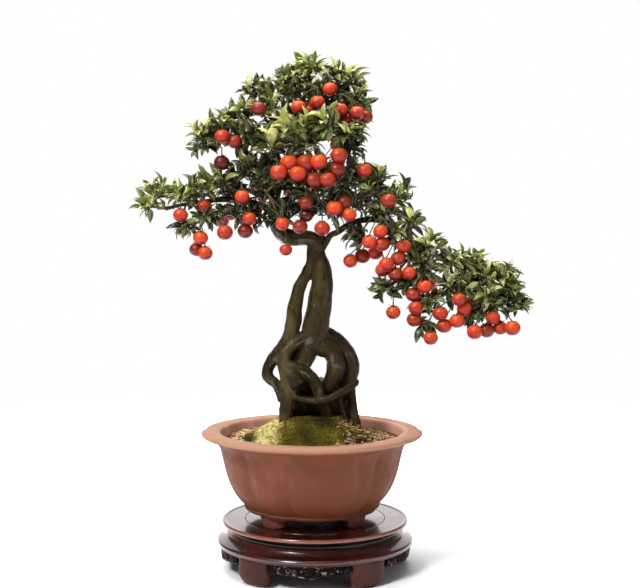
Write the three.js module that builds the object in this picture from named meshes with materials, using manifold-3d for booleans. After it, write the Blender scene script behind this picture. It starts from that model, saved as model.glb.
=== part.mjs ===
// A small-fruited persimmon trained as a bonsai, in an unglazed clay pot on a round lacquered wood stand.
// Millimetres, +Z up. The front faces -Y. Heights start at the stand's feet, and plan places are measured
// from the stand's axis. The whole group is then moved so that its origin is the middle of its own box
// in plan, at the bottom.
import * as THREE from 'three';
import { mergeVertices } from 'three/addons/utils/BufferGeometryUtils.js';
import Module from 'manifold-3d';

const wasm = await Module();
wasm.setup();
const { Manifold, Mesh } = wasm;

// Driving dimensions
const GAP = 0.3;                 // air left between pieces that touch
const ROUND = 26;                // sides of the turned parts of the stand

const STAND_TOP = 64;            // height of the stand's top board
const STAND_RADIUS = 121.5;
const BOARD_THICKNESS = 6;
const PANEL_RADIUS = 91;         // round panel let into the top ring
const PANEL_THICKNESS = 4;
const REBATE_WIDTH = 7;          // of the step that the panel lies on
const WAIST_RADIUS = 111;
const WAIST_BORE = 97;
const TIER_RADIUS = 127.8;       // wider lower tier
const TIER_BOTTOM = 33;
const LEG_COUNT = 5;
const FIRST_LEG = -39.2;         // degrees from the front, toward +X
const LEG_STEP = 360 / LEG_COUNT;
const APRON_RADIUS = 122;
const APRON_THICKNESS = 6;
const APRON_SPAN = 48.6;         // degrees
const APRON_COLUMNS = 8;
const APRON_ROWS = 3;

const POT_X = -4;                // the pot stands a little left of the stand's axis
const POT_SIDES = 36;
const POT_RIM = 179.8;           // height of the rim
const POT_RIM_RADIUS = 142.7;
const POT_MOUTH_RADIUS = 120;
const POT_BOTTOM = 78;
const POT_FLOOR = 85;
const POT_TURN = -30.5;           // degrees to the first narrow lobe
const NARROW_LOBE = 15;          // half the width of a narrow lobe, degrees
const CREASE_DEPTH = 0.034;      // part of the radius
const POT_FOOT_TURN = -42;
const DRAIN_RADIUS = 8;

const SOIL_TOP = 168;
const SOIL_RADIUS = 110;
const MOSS_X = -6;
const MOSS_Y = -6;
const MOSS_RX = 88;
const MOSS_RY = 62;
const MOSS_HEIGHT = 28;

const FRUIT_RADIUS = 10.6;
const FRUIT_CORNER = 11.5;       // radius to the corners of its faceted solid
const FRUIT_SQUASH = 0.92;
const FRUIT_PITCH = 18;          // distance between two fruits that touch
const CALYX_RADIUS = 6.5;
const STALK_RADIUS = 0.9;

const LEAF_LENGTH = 26;
const LEAF_WIDTH = 9;
const LEAF_THICKNESS = 1.3;
const TWIG_RADIUS = 1.3;
const ROOT_RADIUS = 0.8;         // of a twig where it is sunk in its stem
const STEM_RADIUS = 2.1;

const COLOURS = {
  lacquer: { color: 0x4c1f1a, roughness: 0.3, metalness: 0 },
  clay: { color: 0x8a5040, roughness: 0.85, metalness: 0 },
  soil: { color: 0x765c26, roughness: 1, metalness: 0 },
  moss: { color: 0x6f6e2a, roughness: 1, metalness: 0 },
  bark: { color: 0x443a2e, roughness: 0.9, metalness: 0 },
  leaf: { color: 0x4a5a22, roughness: 0.5, metalness: 0 },
  fruit: { color: 0xe2482a, roughness: 0.35, metalness: 0 },
};

const tree = new THREE.Group();

// Basic helpers

const radians = THREE.MathUtils.degToRad;

function polar(radius, azimuth, z) {
  const a = radians(azimuth);
  return new THREE.Vector3(radius * Math.sin(a), -radius * Math.cos(a), z);
}

function vector(place) {
  return new THREE.Vector3(place[0], place[1], place[2]);
}

// A small repeatable random source: the same seed always gives the same draws from 0 to 1.
function randomSource(seed) {
  let state = seed >>> 0;
  return () => {
    state = (state + 0x6d2b79f5) >>> 0;
    let t = state;
    t = Math.imul(t ^ (t >>> 15), t | 1);
    t ^= t + Math.imul(t ^ (t >>> 7), t | 61);
    return ((t ^ (t >>> 14)) >>> 0) / 4294967296;
  };
}

function indexed(points, triangles) {
  const geometry = new THREE.BufferGeometry();
  geometry.setAttribute('position', new THREE.Float32BufferAttribute(points.flatMap((p) => [p.x, p.y, p.z]), 3));
  geometry.setIndex(triangles);
  return geometry;
}

// Closed mesh to solid. A mesh whose faces point inwards is turned round.
function toSolid(geometry, weld = 1e-4) {
  const bare = geometry.clone();
  bare.deleteAttribute('normal');
  bare.deleteAttribute('uv');
  const merged = mergeVertices(bare, weld);
  const vertProperties = Float32Array.from(merged.attributes.position.array);
  const triVerts = Uint32Array.from(merged.index.array);
  const result = new Manifold(new Mesh({ numProp: 3, vertProperties, triVerts }));
  if (result.volume() > 0) return result;
  return new Manifold(new Mesh({ numProp: 3, vertProperties, triVerts: triVerts.reverse() }));
}

function toGeometry(solid) {
  const { vertProperties, triVerts } = solid.getMesh();
  const geometry = new THREE.BufferGeometry();
  geometry.setAttribute('position', new THREE.BufferAttribute(Float32Array.from(vertProperties), 3));
  geometry.setIndex(new THREE.BufferAttribute(Uint32Array.from(triVerts), 1));
  return geometry;
}

function largest(solid) {
  return solid.decompose().sort((a, b) => b.volume() - a.volume())[0];
}

// Where two corners of a surface meet at one point, each is drawn back along its own faces.
function drawApart(geometry, reach) {
  const { position } = geometry.attributes;
  const corners = Array.from({ length: position.count }, (_, i) => new THREE.Vector3().fromBufferAttribute(position, i));
  const index = geometry.index.array;
  corners.forEach((corner, i) => {
    if (!corners.some((other, j) => j !== i && other.distanceTo(corner) < reach / 10)) return;
    const pull = new THREE.Vector3();
    for (let k = 0; k < index.length; k += 3) {
      const face = [index[k], index[k + 1], index[k + 2]];
      if (face.includes(i)) face.forEach((j) => pull.add(corners[j]).sub(corner));
    }
    position.setXYZ(i, ...corner.clone().add(pull.setLength(reach)).toArray());
  });
  return geometry;
}

// Union of many solids, without the scraps, slivers and sealed hollows that a union can leave.
function fuse(solids) {
  const joined = largest(Manifold.union(solids)).simplify(0.1);
  const welded = largest(toSolid(toGeometry(largest(joined)), 1e-3));
  return toSolid(drawApart(toGeometry(welded), 0.03));
}

function addNode(name, solid, colour) {
  const geometry = toGeometry(solid);
  geometry.computeVertexNormals();
  const mesh = new THREE.Mesh(geometry, new THREE.MeshStandardMaterial(COLOURS[colour]));
  mesh.name = name;
  tree.add(mesh);
}

// A solid through rings of equally many points, closed by a flat cap at each end.
function loft(rings) {
  const n = rings[0].length;
  const triangles = [];
  for (let i = 0; i + 1 < rings.length; i += 1) {
    for (let j = 0; j < n; j += 1) {
      const a = i * n + j;
      const b = i * n + ((j + 1) % n);
      triangles.push(a, b, b + n, a, b + n, a + n);
    }
  }
  const last = (rings.length - 1) * n;
  for (let j = 1; j + 1 < n; j += 1) {
    triangles.push(0, j + 1, j, last, last + j, last + j + 1);
  }
  return toSolid(indexed(rings.flat(), triangles));
}

// A round rod along a smooth curve through places [x, y, z, radius].
function rod(places, sides, steps, grow = 0) {
  const curve = new THREE.CatmullRomCurve3(places.map(vector), false, 'centripetal');
  const frames = curve.computeFrenetFrames(steps, false);
  const rings = [];
  for (let i = 0; i <= steps; i += 1) {
    const t = curve.getUtoTmapping(i / steps);
    const centre = curve.getPoint(t);
    const along = t * (places.length - 1);
    const from = Math.min(Math.floor(along), places.length - 2);
    const radius = THREE.MathUtils.lerp(places[from][3], places[from + 1][3], along - from) + grow;
    const ring = [];
    for (let j = 0; j < sides; j += 1) {
      const a = (2 * Math.PI * j) / sides;
      ring.push(centre.clone()
        .addScaledVector(frames.normals[i], radius * Math.cos(a))
        .addScaledVector(frames.binormals[i], radius * Math.sin(a)));
    }
    rings.push(ring);
  }
  return loft(rings);
}

// A turned ring: its profile is [radius, height] and closes on itself or on the axis.
function turned(profile, sides) {
  const outline = [...profile, profile[0]].map(([r, z]) => new THREE.Vector2(r, z));
  const geometry = new THREE.LatheGeometry(outline, sides);
  geometry.rotateX(Math.PI / 2);
  return geometry;
}

// "grown" holds the solids that are fused into each node. "obstacles" holds what later pieces of other
// nodes keep clear of.
const grown = [];
const obstacles = [];

function boxesMeet(a, b) {
  return [0, 1, 2].every((k) => a.min[k] <= b.max[k] && b.min[k] <= a.max[k]);
}

function isFree(solid, counts) {
  const box = solid.boundingBox();
  return !obstacles.some((piece) => counts(piece) && boxesMeet(box, piece.box)
    && !solid.intersect(piece.solid).isEmpty());
}

function isClear(owner, solid) {
  return isFree(solid, (piece) => piece.owner !== owner);
}

function place(owner, solid, from = null) {
  grown.push({ owner, solid });
  obstacles.push({ owner, solid, from, box: solid.boundingBox() });
}

function solidsOf(owner) {
  return grown.filter((piece) => piece.owner === owner).map((piece) => piece.solid);
}

// Stand: top ring with a bead near its edge, and a panel in its rebate

const boardBottom = STAND_TOP - BOARD_THICKNESS;
const panelBottom = STAND_TOP - PANEL_THICKNESS;
const rebate = panelBottom - GAP;

addNode('stand_top_ring', toSolid(turned([
  [PANEL_RADIUS - REBATE_WIDTH, boardBottom],
  [STAND_RADIUS - 5, boardBottom],
  [STAND_RADIUS, boardBottom + 2],
  [STAND_RADIUS, STAND_TOP - 1.4],
  [STAND_RADIUS - 3, STAND_TOP + 0.6],
  [STAND_RADIUS - 6, STAND_TOP - 0.4],
  [PANEL_RADIUS + GAP, STAND_TOP],
  [PANEL_RADIUS + GAP, rebate],
  [PANEL_RADIUS - REBATE_WIDTH, rebate],
], ROUND)), 'lacquer');

const panel = new THREE.CylinderGeometry(PANEL_RADIUS, PANEL_RADIUS, PANEL_THICKNESS, ROUND);
panel.rotateX(Math.PI / 2);
panel.translate(0, 0, (STAND_TOP + panelBottom) / 2);
addNode('stand_top_panel', toSolid(panel), 'lacquer');

// Stand: the turned waist, its shoulder and the lower tier are one ring
addNode('stand_waist_and_tier', toSolid(turned([
  [WAIST_BORE, boardBottom - GAP],
  [WAIST_RADIUS + 1, boardBottom - GAP],
  [WAIST_RADIUS - 1, 52],
  [WAIST_RADIUS + 2, 47],
  [WAIST_RADIUS + 9, 43.5],
  [TIER_RADIUS, 38.5],
  [TIER_RADIUS, 34.8],
  [TIER_RADIUS - 2, TIER_BOTTOM],
  [WAIST_BORE, TIER_BOTTOM],
], ROUND)), 'lacquer');

// Stand: a leg is a stout block, full below the tier and drawn in to a rounded foot.
// Its sections are [height, outer radius, width, thickness].
const LEG_SECTIONS = [
  [0, 121, 26, 15],
  [1.6, 122.4, 32, 16],
  [5, 124.4, 40, 16.4],
  [11, 126.2, 47, 16.6],
  [19, 127.2, 50, 16.4],
  [27, 127.2, 50, 16],
  [TIER_BOTTOM - GAP, 126.6, 50, 16],
];
const LEG_FACE = [-0.5, -0.25, 0, 0.25, 0.5];

function legSection(azimuth, [z, outer, width, thickness]) {
  const span = THREE.MathUtils.radToDeg(width / outer);
  const face = LEG_FACE.map((s) => polar(outer, azimuth + s * span, z));
  const back = [0.42, -0.42].map((s) => polar(outer - thickness, azimuth + s * span, z));
  return [...face, ...back];
}

for (let leg = 0; leg < LEG_COUNT; leg += 1) {
  const azimuth = FIRST_LEG + leg * LEG_STEP;
  const solid = loft(LEG_SECTIONS.map((section) => legSection(azimuth, section)));
  addNode(`stand_leg_${leg + 1}`, solid, 'lacquer');
}

// Stand: a carved apron between two legs. It is a bent board with a scalloped lower edge, raised
// scrolls and three pierced places.
function apronBottom(s) {
  const droop = 5.5 * Math.exp(-((s / 0.3) ** 2));
  return 20.5 - droop + 1.4 * Math.cos(Math.PI * 4 * s);
}

function isPierced(column, row) {
  return row === 1 && (column === 1 || column === 4 || column === 6);
}

function apron(azimuth) {
  const points = [];
  const columns = APRON_COLUMNS + 1;
  const rows = APRON_ROWS + 1;
  for (const side of [0, 1]) {
    for (let i = 0; i < columns; i += 1) {
      const s = (2 * i) / APRON_COLUMNS - 1;
      for (let j = 0; j < rows; j += 1) {
        const top = TIER_BOTTOM - GAP;
        const z = top - ((top - apronBottom(s)) * j) / APRON_ROWS;
        const raised = (i + j) % 2 === 0 ? 1.6 : 0;
        const radius = side ? APRON_RADIUS + raised : APRON_RADIUS - APRON_THICKNESS;
        points.push(polar(radius, azimuth + (s * APRON_SPAN) / 2, z));
      }
    }
  }
  const half = columns * rows;
  const isThere = (i, j) => i >= 0 && j >= 0 && i < APRON_COLUMNS && j < APRON_ROWS && !isPierced(i, j);
  const triangles = [];
  const wall = (a, b) => triangles.push(a, b, b + half, a, b + half, a + half);
  for (let i = 0; i < APRON_COLUMNS; i += 1) {
    for (let j = 0; j < APRON_ROWS; j += 1) {
      if (!isThere(i, j)) continue;
      const a = i * rows + j;
      const b = a + rows;
      triangles.push(a, a + 1, b + 1, a, b + 1, b);
      triangles.push(a + half, b + 1 + half, a + 1 + half, a + half, b + half, b + 1 + half);
      if (!isThere(i - 1, j)) wall(a + 1, a);
      if (!isThere(i + 1, j)) wall(b, b + 1);
      if (!isThere(i, j - 1)) wall(a, b);
      if (!isThere(i, j + 1)) wall(b + 1, a + 1);
    }
  }
  return toSolid(indexed(points, triangles));
}

for (let side = 0; side < LEG_COUNT; side += 1) {
  addNode(`stand_apron_${side + 1}`, apron(FIRST_LEG + (side + 0.5) * LEG_STEP), 'lacquer');
}

// Pot: thrown round, then pressed into four broad and four narrow lobes

function creaseAt(azimuth) {
  const fromLobe = THREE.MathUtils.euclideanModulo(azimuth - POT_TURN + 45, 90) - 45;
  const fromCrease = Math.abs(Math.abs(fromLobe) - NARROW_LOBE);
  return Math.max(0, 1 - fromCrease / 10);
}

// Presses the lobes into a turned shape, fully below the rim and half as deep at it.
function lobed(geometry) {
  const position = geometry.attributes.position;
  for (let i = 0; i < position.count; i += 1) {
    const x = position.getX(i);
    const y = position.getY(i);
    const azimuth = THREE.MathUtils.radToDeg(Math.atan2(x, -y));
    const share = position.getZ(i) > POT_RIM - 9 ? 0.5 : 1;
    const scale = 1 - CREASE_DEPTH * share * creaseAt(azimuth);
    position.setX(i, x * scale + POT_X);
    position.setY(i, y * scale);
  }
  return geometry;
}

const potBody = toSolid(lobed(turned([
  [0, POT_FLOOR],
  [74, POT_FLOOR],
  [100, 120],
  [110.5, POT_RIM - 15],
  [POT_MOUTH_RADIUS, POT_RIM],
  [POT_RIM_RADIUS - 3, POT_RIM],
  [POT_RIM_RADIUS, POT_RIM - 3],
  [POT_RIM_RADIUS - 3, POT_RIM - 7],
  [121.5, POT_RIM - 14.5],
  [115.6, POT_RIM - 29],
  [106, POT_RIM - 62],
  [97.5, POT_RIM - 80],
  [87.6, POT_RIM - 94],
  [86, POT_BOTTOM],
  [0, POT_BOTTOM],
], POT_SIDES)));

// A foot stands under the base and is cut like a small cloud: sections are [height, width, depth].
const FOOT_SECTIONS = [
  [STAND_TOP + GAP, 27, 13],
  [STAND_TOP + 3.6, 34, 16],
  [STAND_TOP + 6.4, 31, 14.6],
  [POT_BOTTOM + 2, 46, 20],
];
const FOOT_RADIUS = 81;

function potFoot(azimuth) {
  return loft(FOOT_SECTIONS.map(([z, width, depth]) => {
    const span = THREE.MathUtils.radToDeg(width / FOOT_RADIUS);
    const outer = [-0.5, -0.17, 0.17, 0.5].map((s) => polar(FOOT_RADIUS, azimuth + s * span, z));
    const inner = [0.45, -0.45].map((s) => polar(FOOT_RADIUS - depth, azimuth + s * span, z));
    return [...outer, ...inner].map((p) => p.setX(p.x + POT_X));
  }));
}

const potFeet = [0, 90, 180, 270].map((turn) => potFoot(POT_FOOT_TURN + turn));
const drain = new THREE.CylinderGeometry(DRAIN_RADIUS, DRAIN_RADIUS, 30, 8);
drain.rotateX(Math.PI / 2);
drain.translate(POT_X, 0, POT_BOTTOM);
addNode('pot', fuse([potBody, ...potFeet]).subtract(toSolid(drain)), 'clay');

// Wood: each strand is a list of places [x, y, z, radius] along its middle

const TRUNKS = [
  // right trunk, down from the crown into the knot
  [[4, 0, 428, 8], [5, 0, 413, 8], [7.5, 0, 404, 8.6], [9, 0, 391, 11.2], [9, 0, 376, 13], [7, 0, 358, 15],
    [5, -1, 339, 15.6], [2, -2, 320, 16.6], [-1, -3, 303, 17.6], [-2, -3, 288, 14]],
  // left trunk, from the crown round the slit to the left loop
  [[-4, -1, 424, 6], [-5.5, -1, 411, 5.6], [-6.4, -2, 399, 6], [-9.5, -3, 387, 7.2], [-14.6, -4, 376, 7.8],
    [-20.3, -6, 364, 8.6], [-23.6, -7, 352, 8.9], [-26.4, -8, 337, 9.7], [-28.4, -9, 319, 9.8],
    [-32, -10, 306, 9.6], [-37, -9, 293, 9]],
];

const ROOTS = [
  // front root: an S over the knot
  [[-14, -8, 302, 8], [-24, -12, 296, 8.4], [-35, -16, 286, 8], [-38, -18, 275, 7.6], [-36, -20, 267, 7.4],
    [-27, -22, 264, 7.6], [-16, -22, 260, 7.8], [-6, -21, 252, 8], [1, -19, 243, 8], [5, -17, 230, 8],
    [12, -12, 210, 8], [18, -8, 186, 7.5], [20, -8, 150, 6]],
  // foot of the trunk, behind the front root
  [[-2, -3, 300, 17], [-9, -3, 284, 12.5], [-14, -4, 271, 12], [-22, -7, 257, 10], [-27, -10, 246, 9]],
  // inner hoop round the hole
  [[-3, -4, 296, 13], [8, -6, 289, 12.5], [19, -7, 284, 11.6], [25.5, -7, 273, 11.3], [26, -6, 262, 11.4],
    [24, -4, 250, 11.2], [20, -2, 240, 10.6], [14, 2, 226, 9.5], [10, 6, 208, 8.5], [8, 8, 188, 7.5],
    [6, 9, 152, 6]],
  // outer hoop behind it
  [[2, 6, 308, 11], [14, 9, 302, 11], [27, 12, 293, 11], [37, 13, 281, 11], [44, 13, 268, 11],
    [45, 12, 256, 10.8], [42, 10, 244, 10.5], [37, 9, 232, 10], [33, 12, 214, 9], [32, 14, 190, 8],
    [34, 15, 152, 6]],
  // cross root in front
  [[54, 0, 244, 4.6], [50, -6, 239, 5.2], [42, -13, 235, 5.2], [34, -17, 231, 5.4], [23, -21, 225.5, 5.4],
    [8, -23, 220, 5.4], [-8, -23, 221, 5.4], [-21, -19, 224, 5.2], [-32, -15, 230, 5]],
  // left loop, standing away from the knot
  [[-36, -9, 296, 9], [-43, -8, 288, 8.6], [-51, -7, 278, 8.4], [-57, -6, 268, 8], [-62, -6, 257, 7.6],
    [-59.5, -7, 248, 7.2], [-52, -9, 242, 7], [-46, -11, 233, 7], [-41, -13, 220, 7.4]],
  // root inside the left loop
  [[-42, -12, 286, 7], [-43, -13, 273, 6.5], [-43, -13, 262, 5.6], [-40, -14, 250, 5.5], [-37, -15, 236, 6]],
  // left front leg, down from a knuckle
  [[-27, -12, 252, 11], [-30, -14, 238, 10], [-33.5, -15, 227, 8.4], [-36, -15, 216, 9], [-38, -16, 200, 9],
    [-38.5, -17, 186, 8.8], [-38.5, -18, 170, 9], [-38, -19, 150, 7]],
  // right leg
  [[42, 8, 242, 8], [47, 4, 230, 6.5], [49, 2, 216, 6], [51, 0, 200, 5.8], [55, -2, 182, 5.8], [58, -3, 152, 5]],
  // shaded legs behind
  [[-22, -2, 250, 10], [-18, 6, 230, 10], [-14, 10, 208, 10], [-13, 11, 184, 9], [-13, 12, 152, 7]],
  [[2, 4, 244, 11], [4, 12, 222, 12], [3, 14, 204, 12], [2, 15, 184, 10], [0, 16, 152, 7]],
  [[28, 8, 240, 12], [24, 14, 222, 12], [21, 16, 204, 12], [20, 18, 184, 10], [18, 20, 152, 7]],
  // a thin root near the moss
  [[30, -14, 229, 3.4], [35, -14, 208, 2.8], [42, -15, 192, 2.8], [50, -17, 168, 2.8]],
];
const KNUCKLE = [-26, -15, 247, 10];

const BOUGHS = [
  // leader: thick, first to the left, then up through the crown in an S
  [[5, 0, 411, 8.5], [3, 0, 423, 9.4], [-8, -2, 429.5, 10], [-20, -3, 430, 10.4], [-31, -2, 430.5, 11.2],
    [-42, -1, 436, 10.6], [-50, 0, 448, 9.2], [-53, 3, 470, 7.6], [-46, 6, 508, 6.4], [-30, 7, 545, 5.4], [-12, 5, 582, 4.4],
    [4, 3, 610, 3.4], [12, 2, 626, 2.6]],
  // left bough, out to the lowest left tips
  [[-50, 2, 460, 5], [-75, -4, 474, 4.4], [-105, -10, 479, 3.8], [-140, -14, 477, 3.2],
    [-172, -16, 472, 2.7], [-192, -16, 467, 2.3]],
  // upper left bough
  [[-50, 4, 488, 5], [-72, 0, 518, 4], [-92, -4, 543, 3.4], [-110, -6, 556, 2.8], [-122, -6, 562, 2.3]],
  // right bough: the cascade
  [[6, 0, 414, 6], [14, -2, 424, 4.6], [20, -3, 433, 4], [30, -3, 438, 4], [42, -3, 446, 4.2],
    [62, -4, 453, 4.4], [86, -6, 452, 4.2], [110, -9, 438, 3.8], [138, -12, 417, 3.4],
    [168, -14, 403, 3], [203, -15, 394, 2.6], [232, -15, 386, 2.2]],
  // two short upright twigs on the crown
  [[6, -2, 420, 2.4], [9, -5, 432, 1.9], [12, -8, 446, 1.6]],
  [[12, -1, 422, 2.2], [11, 3, 436, 1.8], [8, 6, 450, 1.5]],
];

// Each spray stands at the end of its own side branch. Its tips lie in an ellipsoid: centre and half
// sizes. "tufts" is how many leafy twigs it has.
const SPRAYS = {
  far_left: { branch: [[-186, -16, 469, 2.4], [-196, -17, 468, 2]], centre: [-213, -17, 474], half: [9, 12, 12], tufts: 2 },
  left_low: { branch: [[-150, -15, 476, 2.6], [-158, -18, 483, 2]], centre: [-165, -21, 484], half: [22, 20, 12], tufts: 2 },
  left_inner: { branch: [[-96, -8, 478, 3], [-102, -12, 490, 2.2]], centre: [-104, -15, 500], half: [24, 26, 24], tufts: 3 },
  left_upper: { branch: [[-112, -6, 557, 2.6], [-126, -8, 566, 2]], centre: [-139, -9, 568], half: [19, 20, 16], tufts: 3 },
  left_crest: { branch: [[-88, -4, 538, 3], [-90, 0, 560, 2.4], [-92, 3, 580, 2]], centre: [-86, 3, 601], half: [18, 24, 22], tufts: 3 },
  top_left: { branch: [[-6, 4, 594, 3], [-20, 2, 612, 2.2]], centre: [-31, 0, 634], half: [18, 24, 14], tufts: 3 },
  top_right: { branch: [[2, 3, 606, 3], [18, 0, 618, 2.4], [28, -2, 622, 2]], centre: [38, -3, 636], half: [24, 26, 14], tufts: 3 },
  middle_left: { branch: [[-42, 6, 520, 4], [-48, -12, 536, 3], [-50, -24, 546, 2.2]], centre: [-52, -34, 562], half: [22, 20, 20], tufts: 2 },
  middle_front: { branch: [[-32, 6, 542, 4], [-12, -14, 552, 3], [0, -30, 556, 2.2]], centre: [2, -42, 568], half: [24, 20, 16], tufts: 2 },
  middle_right: { branch: [[-20, 6, 564, 3.6], [10, 0, 562, 3], [34, -6, 556, 2.4]], centre: [58, -10, 556], half: [20, 24, 28], tufts: 3 },
  inner_left: { branch: [[-52, 4, 474, 4], [-58, -12, 482, 3], [-62, -24, 488, 2.2]], centre: [-66, -34, 502], half: [22, 18, 22], tufts: 2 },
  inner_front: { branch: [[-48, 4, 496, 4], [-20, -16, 492, 3], [-4, -30, 488, 2.2]], centre: [4, -42, 492], half: [26, 16, 18], tufts: 2 },
  back_upper: { branch: [[-28, 8, 548, 4], [-20, 28, 564, 3], [-14, 42, 574, 2.2]], centre: [-10, 58, 588], half: [52, 20, 36], tufts: 4 },
  back_lower: { branch: [[-51, 4, 476, 4], [-24, 28, 486, 3], [-4, 42, 492, 2.2]], centre: [4, 58, 502], half: [58, 20, 32], tufts: 4 },
  shoulder: { branch: [[74, -5, 453, 3.4], [84, -8, 468, 2.6], [90, -8, 478, 2.1]], centre: [96, -9, 492], half: [22, 26, 18], tufts: 2 },
  cascade_1: { branch: [[116, -9, 434, 3], [122, -12, 440, 2.1]], centre: [131, -29, 430], half: [22, 24, 13], tufts: 3 },
  cascade_2: { branch: [[160, -14, 407, 3], [168, -16, 413, 2.1]], centre: [182, -30, 396], half: [20, 24, 13], tufts: 3 },
  cascade_3: { branch: [[206, -15, 393, 2.6], [214, -16, 397, 2]], centre: [225, -30, 380], half: [20, 24, 12], tufts: 2 },
  cascade_tip: { branch: [[228, -15, 387, 2.3], [242, -15, 381, 2]], centre: [258, -16, 362], half: [15, 18, 16], tufts: 2 },
};

// Fruit: each bunch hangs from a twig of one spray, or from the wood. The fruits' places are [x, z], in
// the order in which they touch, and "depth" is where the bunch lies between front and back.
const BUNCHES = {
  far_left: { spray: 'far_left', depth: -26, fruits: [[-171, 459]] },
  left_low: { spray: 'left_low', depth: -30, fruits: [[-145, 431], [-151, 414], [-140, 411]] },
  left_mid: { spray: 'left_inner', depth: -34, fruits: [[-114, 437]] },
  left_near: { spray: 'left_inner', depth: -34, fruits: [[-83, 455], [-89, 438]] },
  left_inner: { spray: 'left_inner', depth: -36, fruits: [[-92, 482]] },
  left_upper: { spray: 'left_upper', depth: -24, fruits: [[-118, 559], [-102, 553]] },
  left_dull: { spray: 'left_upper', depth: -16, fruits: [[-119, 526]] },
  top_middle: { spray: 'top_left', depth: -34, fruits: [[4, 601], [-9, 588], [-20, 594]] },
  top_high: { spray: 'top_right', depth: -28, fruits: [[19, 618]] },
  top_right: { spray: 'top_right', depth: -34, fruits: [[32, 591], [40, 580], [54, 584], [65, 580]] },
  centre_left: { spray: 'middle_left', depth: -54, fruits: [[-47, 510], [-31, 527], [-22, 509], [-11, 525], [5, 525]] },
  centre_right: { spray: 'middle_front', depth: -52, fruits: [[30, 534], [29, 516], [16, 502], [-3, 502]] },
  centre_shade: { spray: 'inner_front', depth: -40, fruits: [[-11, 474], [-11, 459], [-19, 444]] },
  low_left: { spray: 'inner_left', depth: -40, fruits: [[-41, 448]] },
  low_drop: { spray: 'inner_left', depth: -34, fruits: [[-37, 415]] },
  low_middle: { spray: 'inner_front', depth: -38, fruits: [[9, 442]] },
  mid_right: { spray: 'middle_right', depth: -40, fruits: [[25, 468], [36, 476], [44, 458]] },
  right_high: { spray: 'middle_right', depth: -28, fruits: [[63, 516]] },
  shoulder: { spray: 'shoulder', depth: -34, fruits: [[83, 439], [86, 422], [68, 425]] },
  shoulder_low: { spray: 'shoulder', depth: -5, fruits: [[79, 411], [61.5, 406.5], [45, 400]] },
  cascade_cluster: { spray: 'cascade_1', depth: -32, fruits: [[113, 421], [106, 403], [90, 397], [102, 383], [121, 386]] },
  cascade_low: { spray: 'cascade_2', depth: -34, fruits: [[140, 369], [124, 358], [128, 340], [127, 326]] },
  cascade_mid: { spray: 'cascade_2', depth: -32, fruits: [[159, 338], [164, 320], [183, 329], [194, 344]] },
  cascade_end: { spray: 'cascade_3', depth: -28, fruits: [[204, 310], [222, 311], [227, 330], [238, 313], [251, 315]] },
};

function woodStrands(grow) {
  return [
    ...TRUNKS.map((places) => rod(places, 8, 10, grow)),
    ...ROOTS.map((places) => rod(places, 6, places.length - 1, grow)),
  ];
}

const knuckle = new THREE.IcosahedronGeometry(KNUCKLE[3], 0);
knuckle.translate(KNUCKLE[0], KNUCKLE[1], KNUCKLE[2]);
for (const solid of [...woodStrands(0), toSolid(knuckle)]) place('wood', solid);
for (const places of BOUGHS) place('wood', rod(places, 5, places.length - 1));
for (const spray of Object.values(SPRAYS)) place('wood', rod(spray.branch, 4, spray.branch.length - 1));

// Fruit: the fruits of a bunch are pushed apart or pulled together until neighbours just touch.
// They move mostly to the front or back, so that they stay where they are seen from the front.
function settle(bunch) {
  const spots = bunch.fruits.map(([x, z], i) => new THREE.Vector3(x, bunch.depth + (i % 2 ? 6 : -3), z));
  for (let round = 0; round < 60; round += 1) {
    for (let i = 0; i < spots.length; i += 1) {
      for (let j = i + 1; j < spots.length; j += 1) {
        const between = spots[j].clone().sub(spots[i]);
        if (j > i + 1 && between.length() > FRUIT_PITCH) continue;
        const move = (between.length() - FRUIT_PITCH) / between.length() / 4;
        const step = new THREE.Vector3(between.x * 0.3, between.y, between.z * 0.3).multiplyScalar(move);
        spots[i].add(step);
        spots[j].sub(step);
      }
    }
  }
  return spots;
}

function fruitSolid(centre) {
  const geometry = new THREE.SphereGeometry(FRUIT_CORNER, 6, 4);
  geometry.rotateX(Math.PI / 2);
  geometry.scale(1, 1, FRUIT_SQUASH);
  geometry.translate(centre.x, centre.y, centre.z);
  return toSolid(geometry);
}

for (const [name, bunch] of Object.entries(BUNCHES)) {
  bunch.spots = settle(bunch);
  for (const spot of bunch.spots) place(`fruit_${name}`, fruitSolid(spot));
}

// Leaf: it grows out of a four-cornered face of its twig, as a blade that is thick at the rib, folded up
// a little from it, arched, and sharp at the edge. The faces above and below are split alike.
function growLeaf(points, triangles, face, { along, up, length, width }) {
  const root = face.reduce((sum, i) => sum.add(points[i]), new THREE.Vector3()).divideScalar(4);
  const side = new THREE.Vector3().crossVectors(along, up).normalize();
  const top = new THREE.Vector3().crossVectors(side, along).normalize();
  const at = (s, w, h) => root.clone()
    .addScaledVector(along, s * length)
    .addScaledVector(side, w * width)
    .addScaledVector(top, h * length);
  const first = points.length;
  const above = at(0.5, 0, 0.06);
  points.push(at(0.56, 0.5, 0.1), at(1, 0, -0.02), at(0.56, -0.5, 0.1), above);
  points.push(above.clone().addScaledVector(top, -LEAF_THICKNESS));
  const [lowRight, lowLeft, highLeft, highRight] = face;
  const [right, tip, left, middle, under] = [0, 1, 2, 3, 4].map((k) => first + k);
  const high = [highRight, right, tip, left, highLeft];
  const low = [lowRight, right, tip, left, lowLeft];
  for (let k = 0; k < 5; k += 1) {
    const next = (k + 1) % 5;
    triangles.push(middle, high[k], high[next], under, low[next], low[k]);
  }
  triangles.push(lowRight, right, highRight, lowLeft, highLeft, left);
}

// A leafy twig is four-sided. A whorl of leaves grows from the four faces of a short length of it, once
// partway along and once at the tip, and one leaf stands up from the end face.
const WHORL = 4;
const WHORL_HEIGHT = 3;
const LOWER_WHORL = 11;          // distance back from the tip
const HALF_STEP = Math.PI / 4;   // the second whorl is turned by half a leaf

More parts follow.
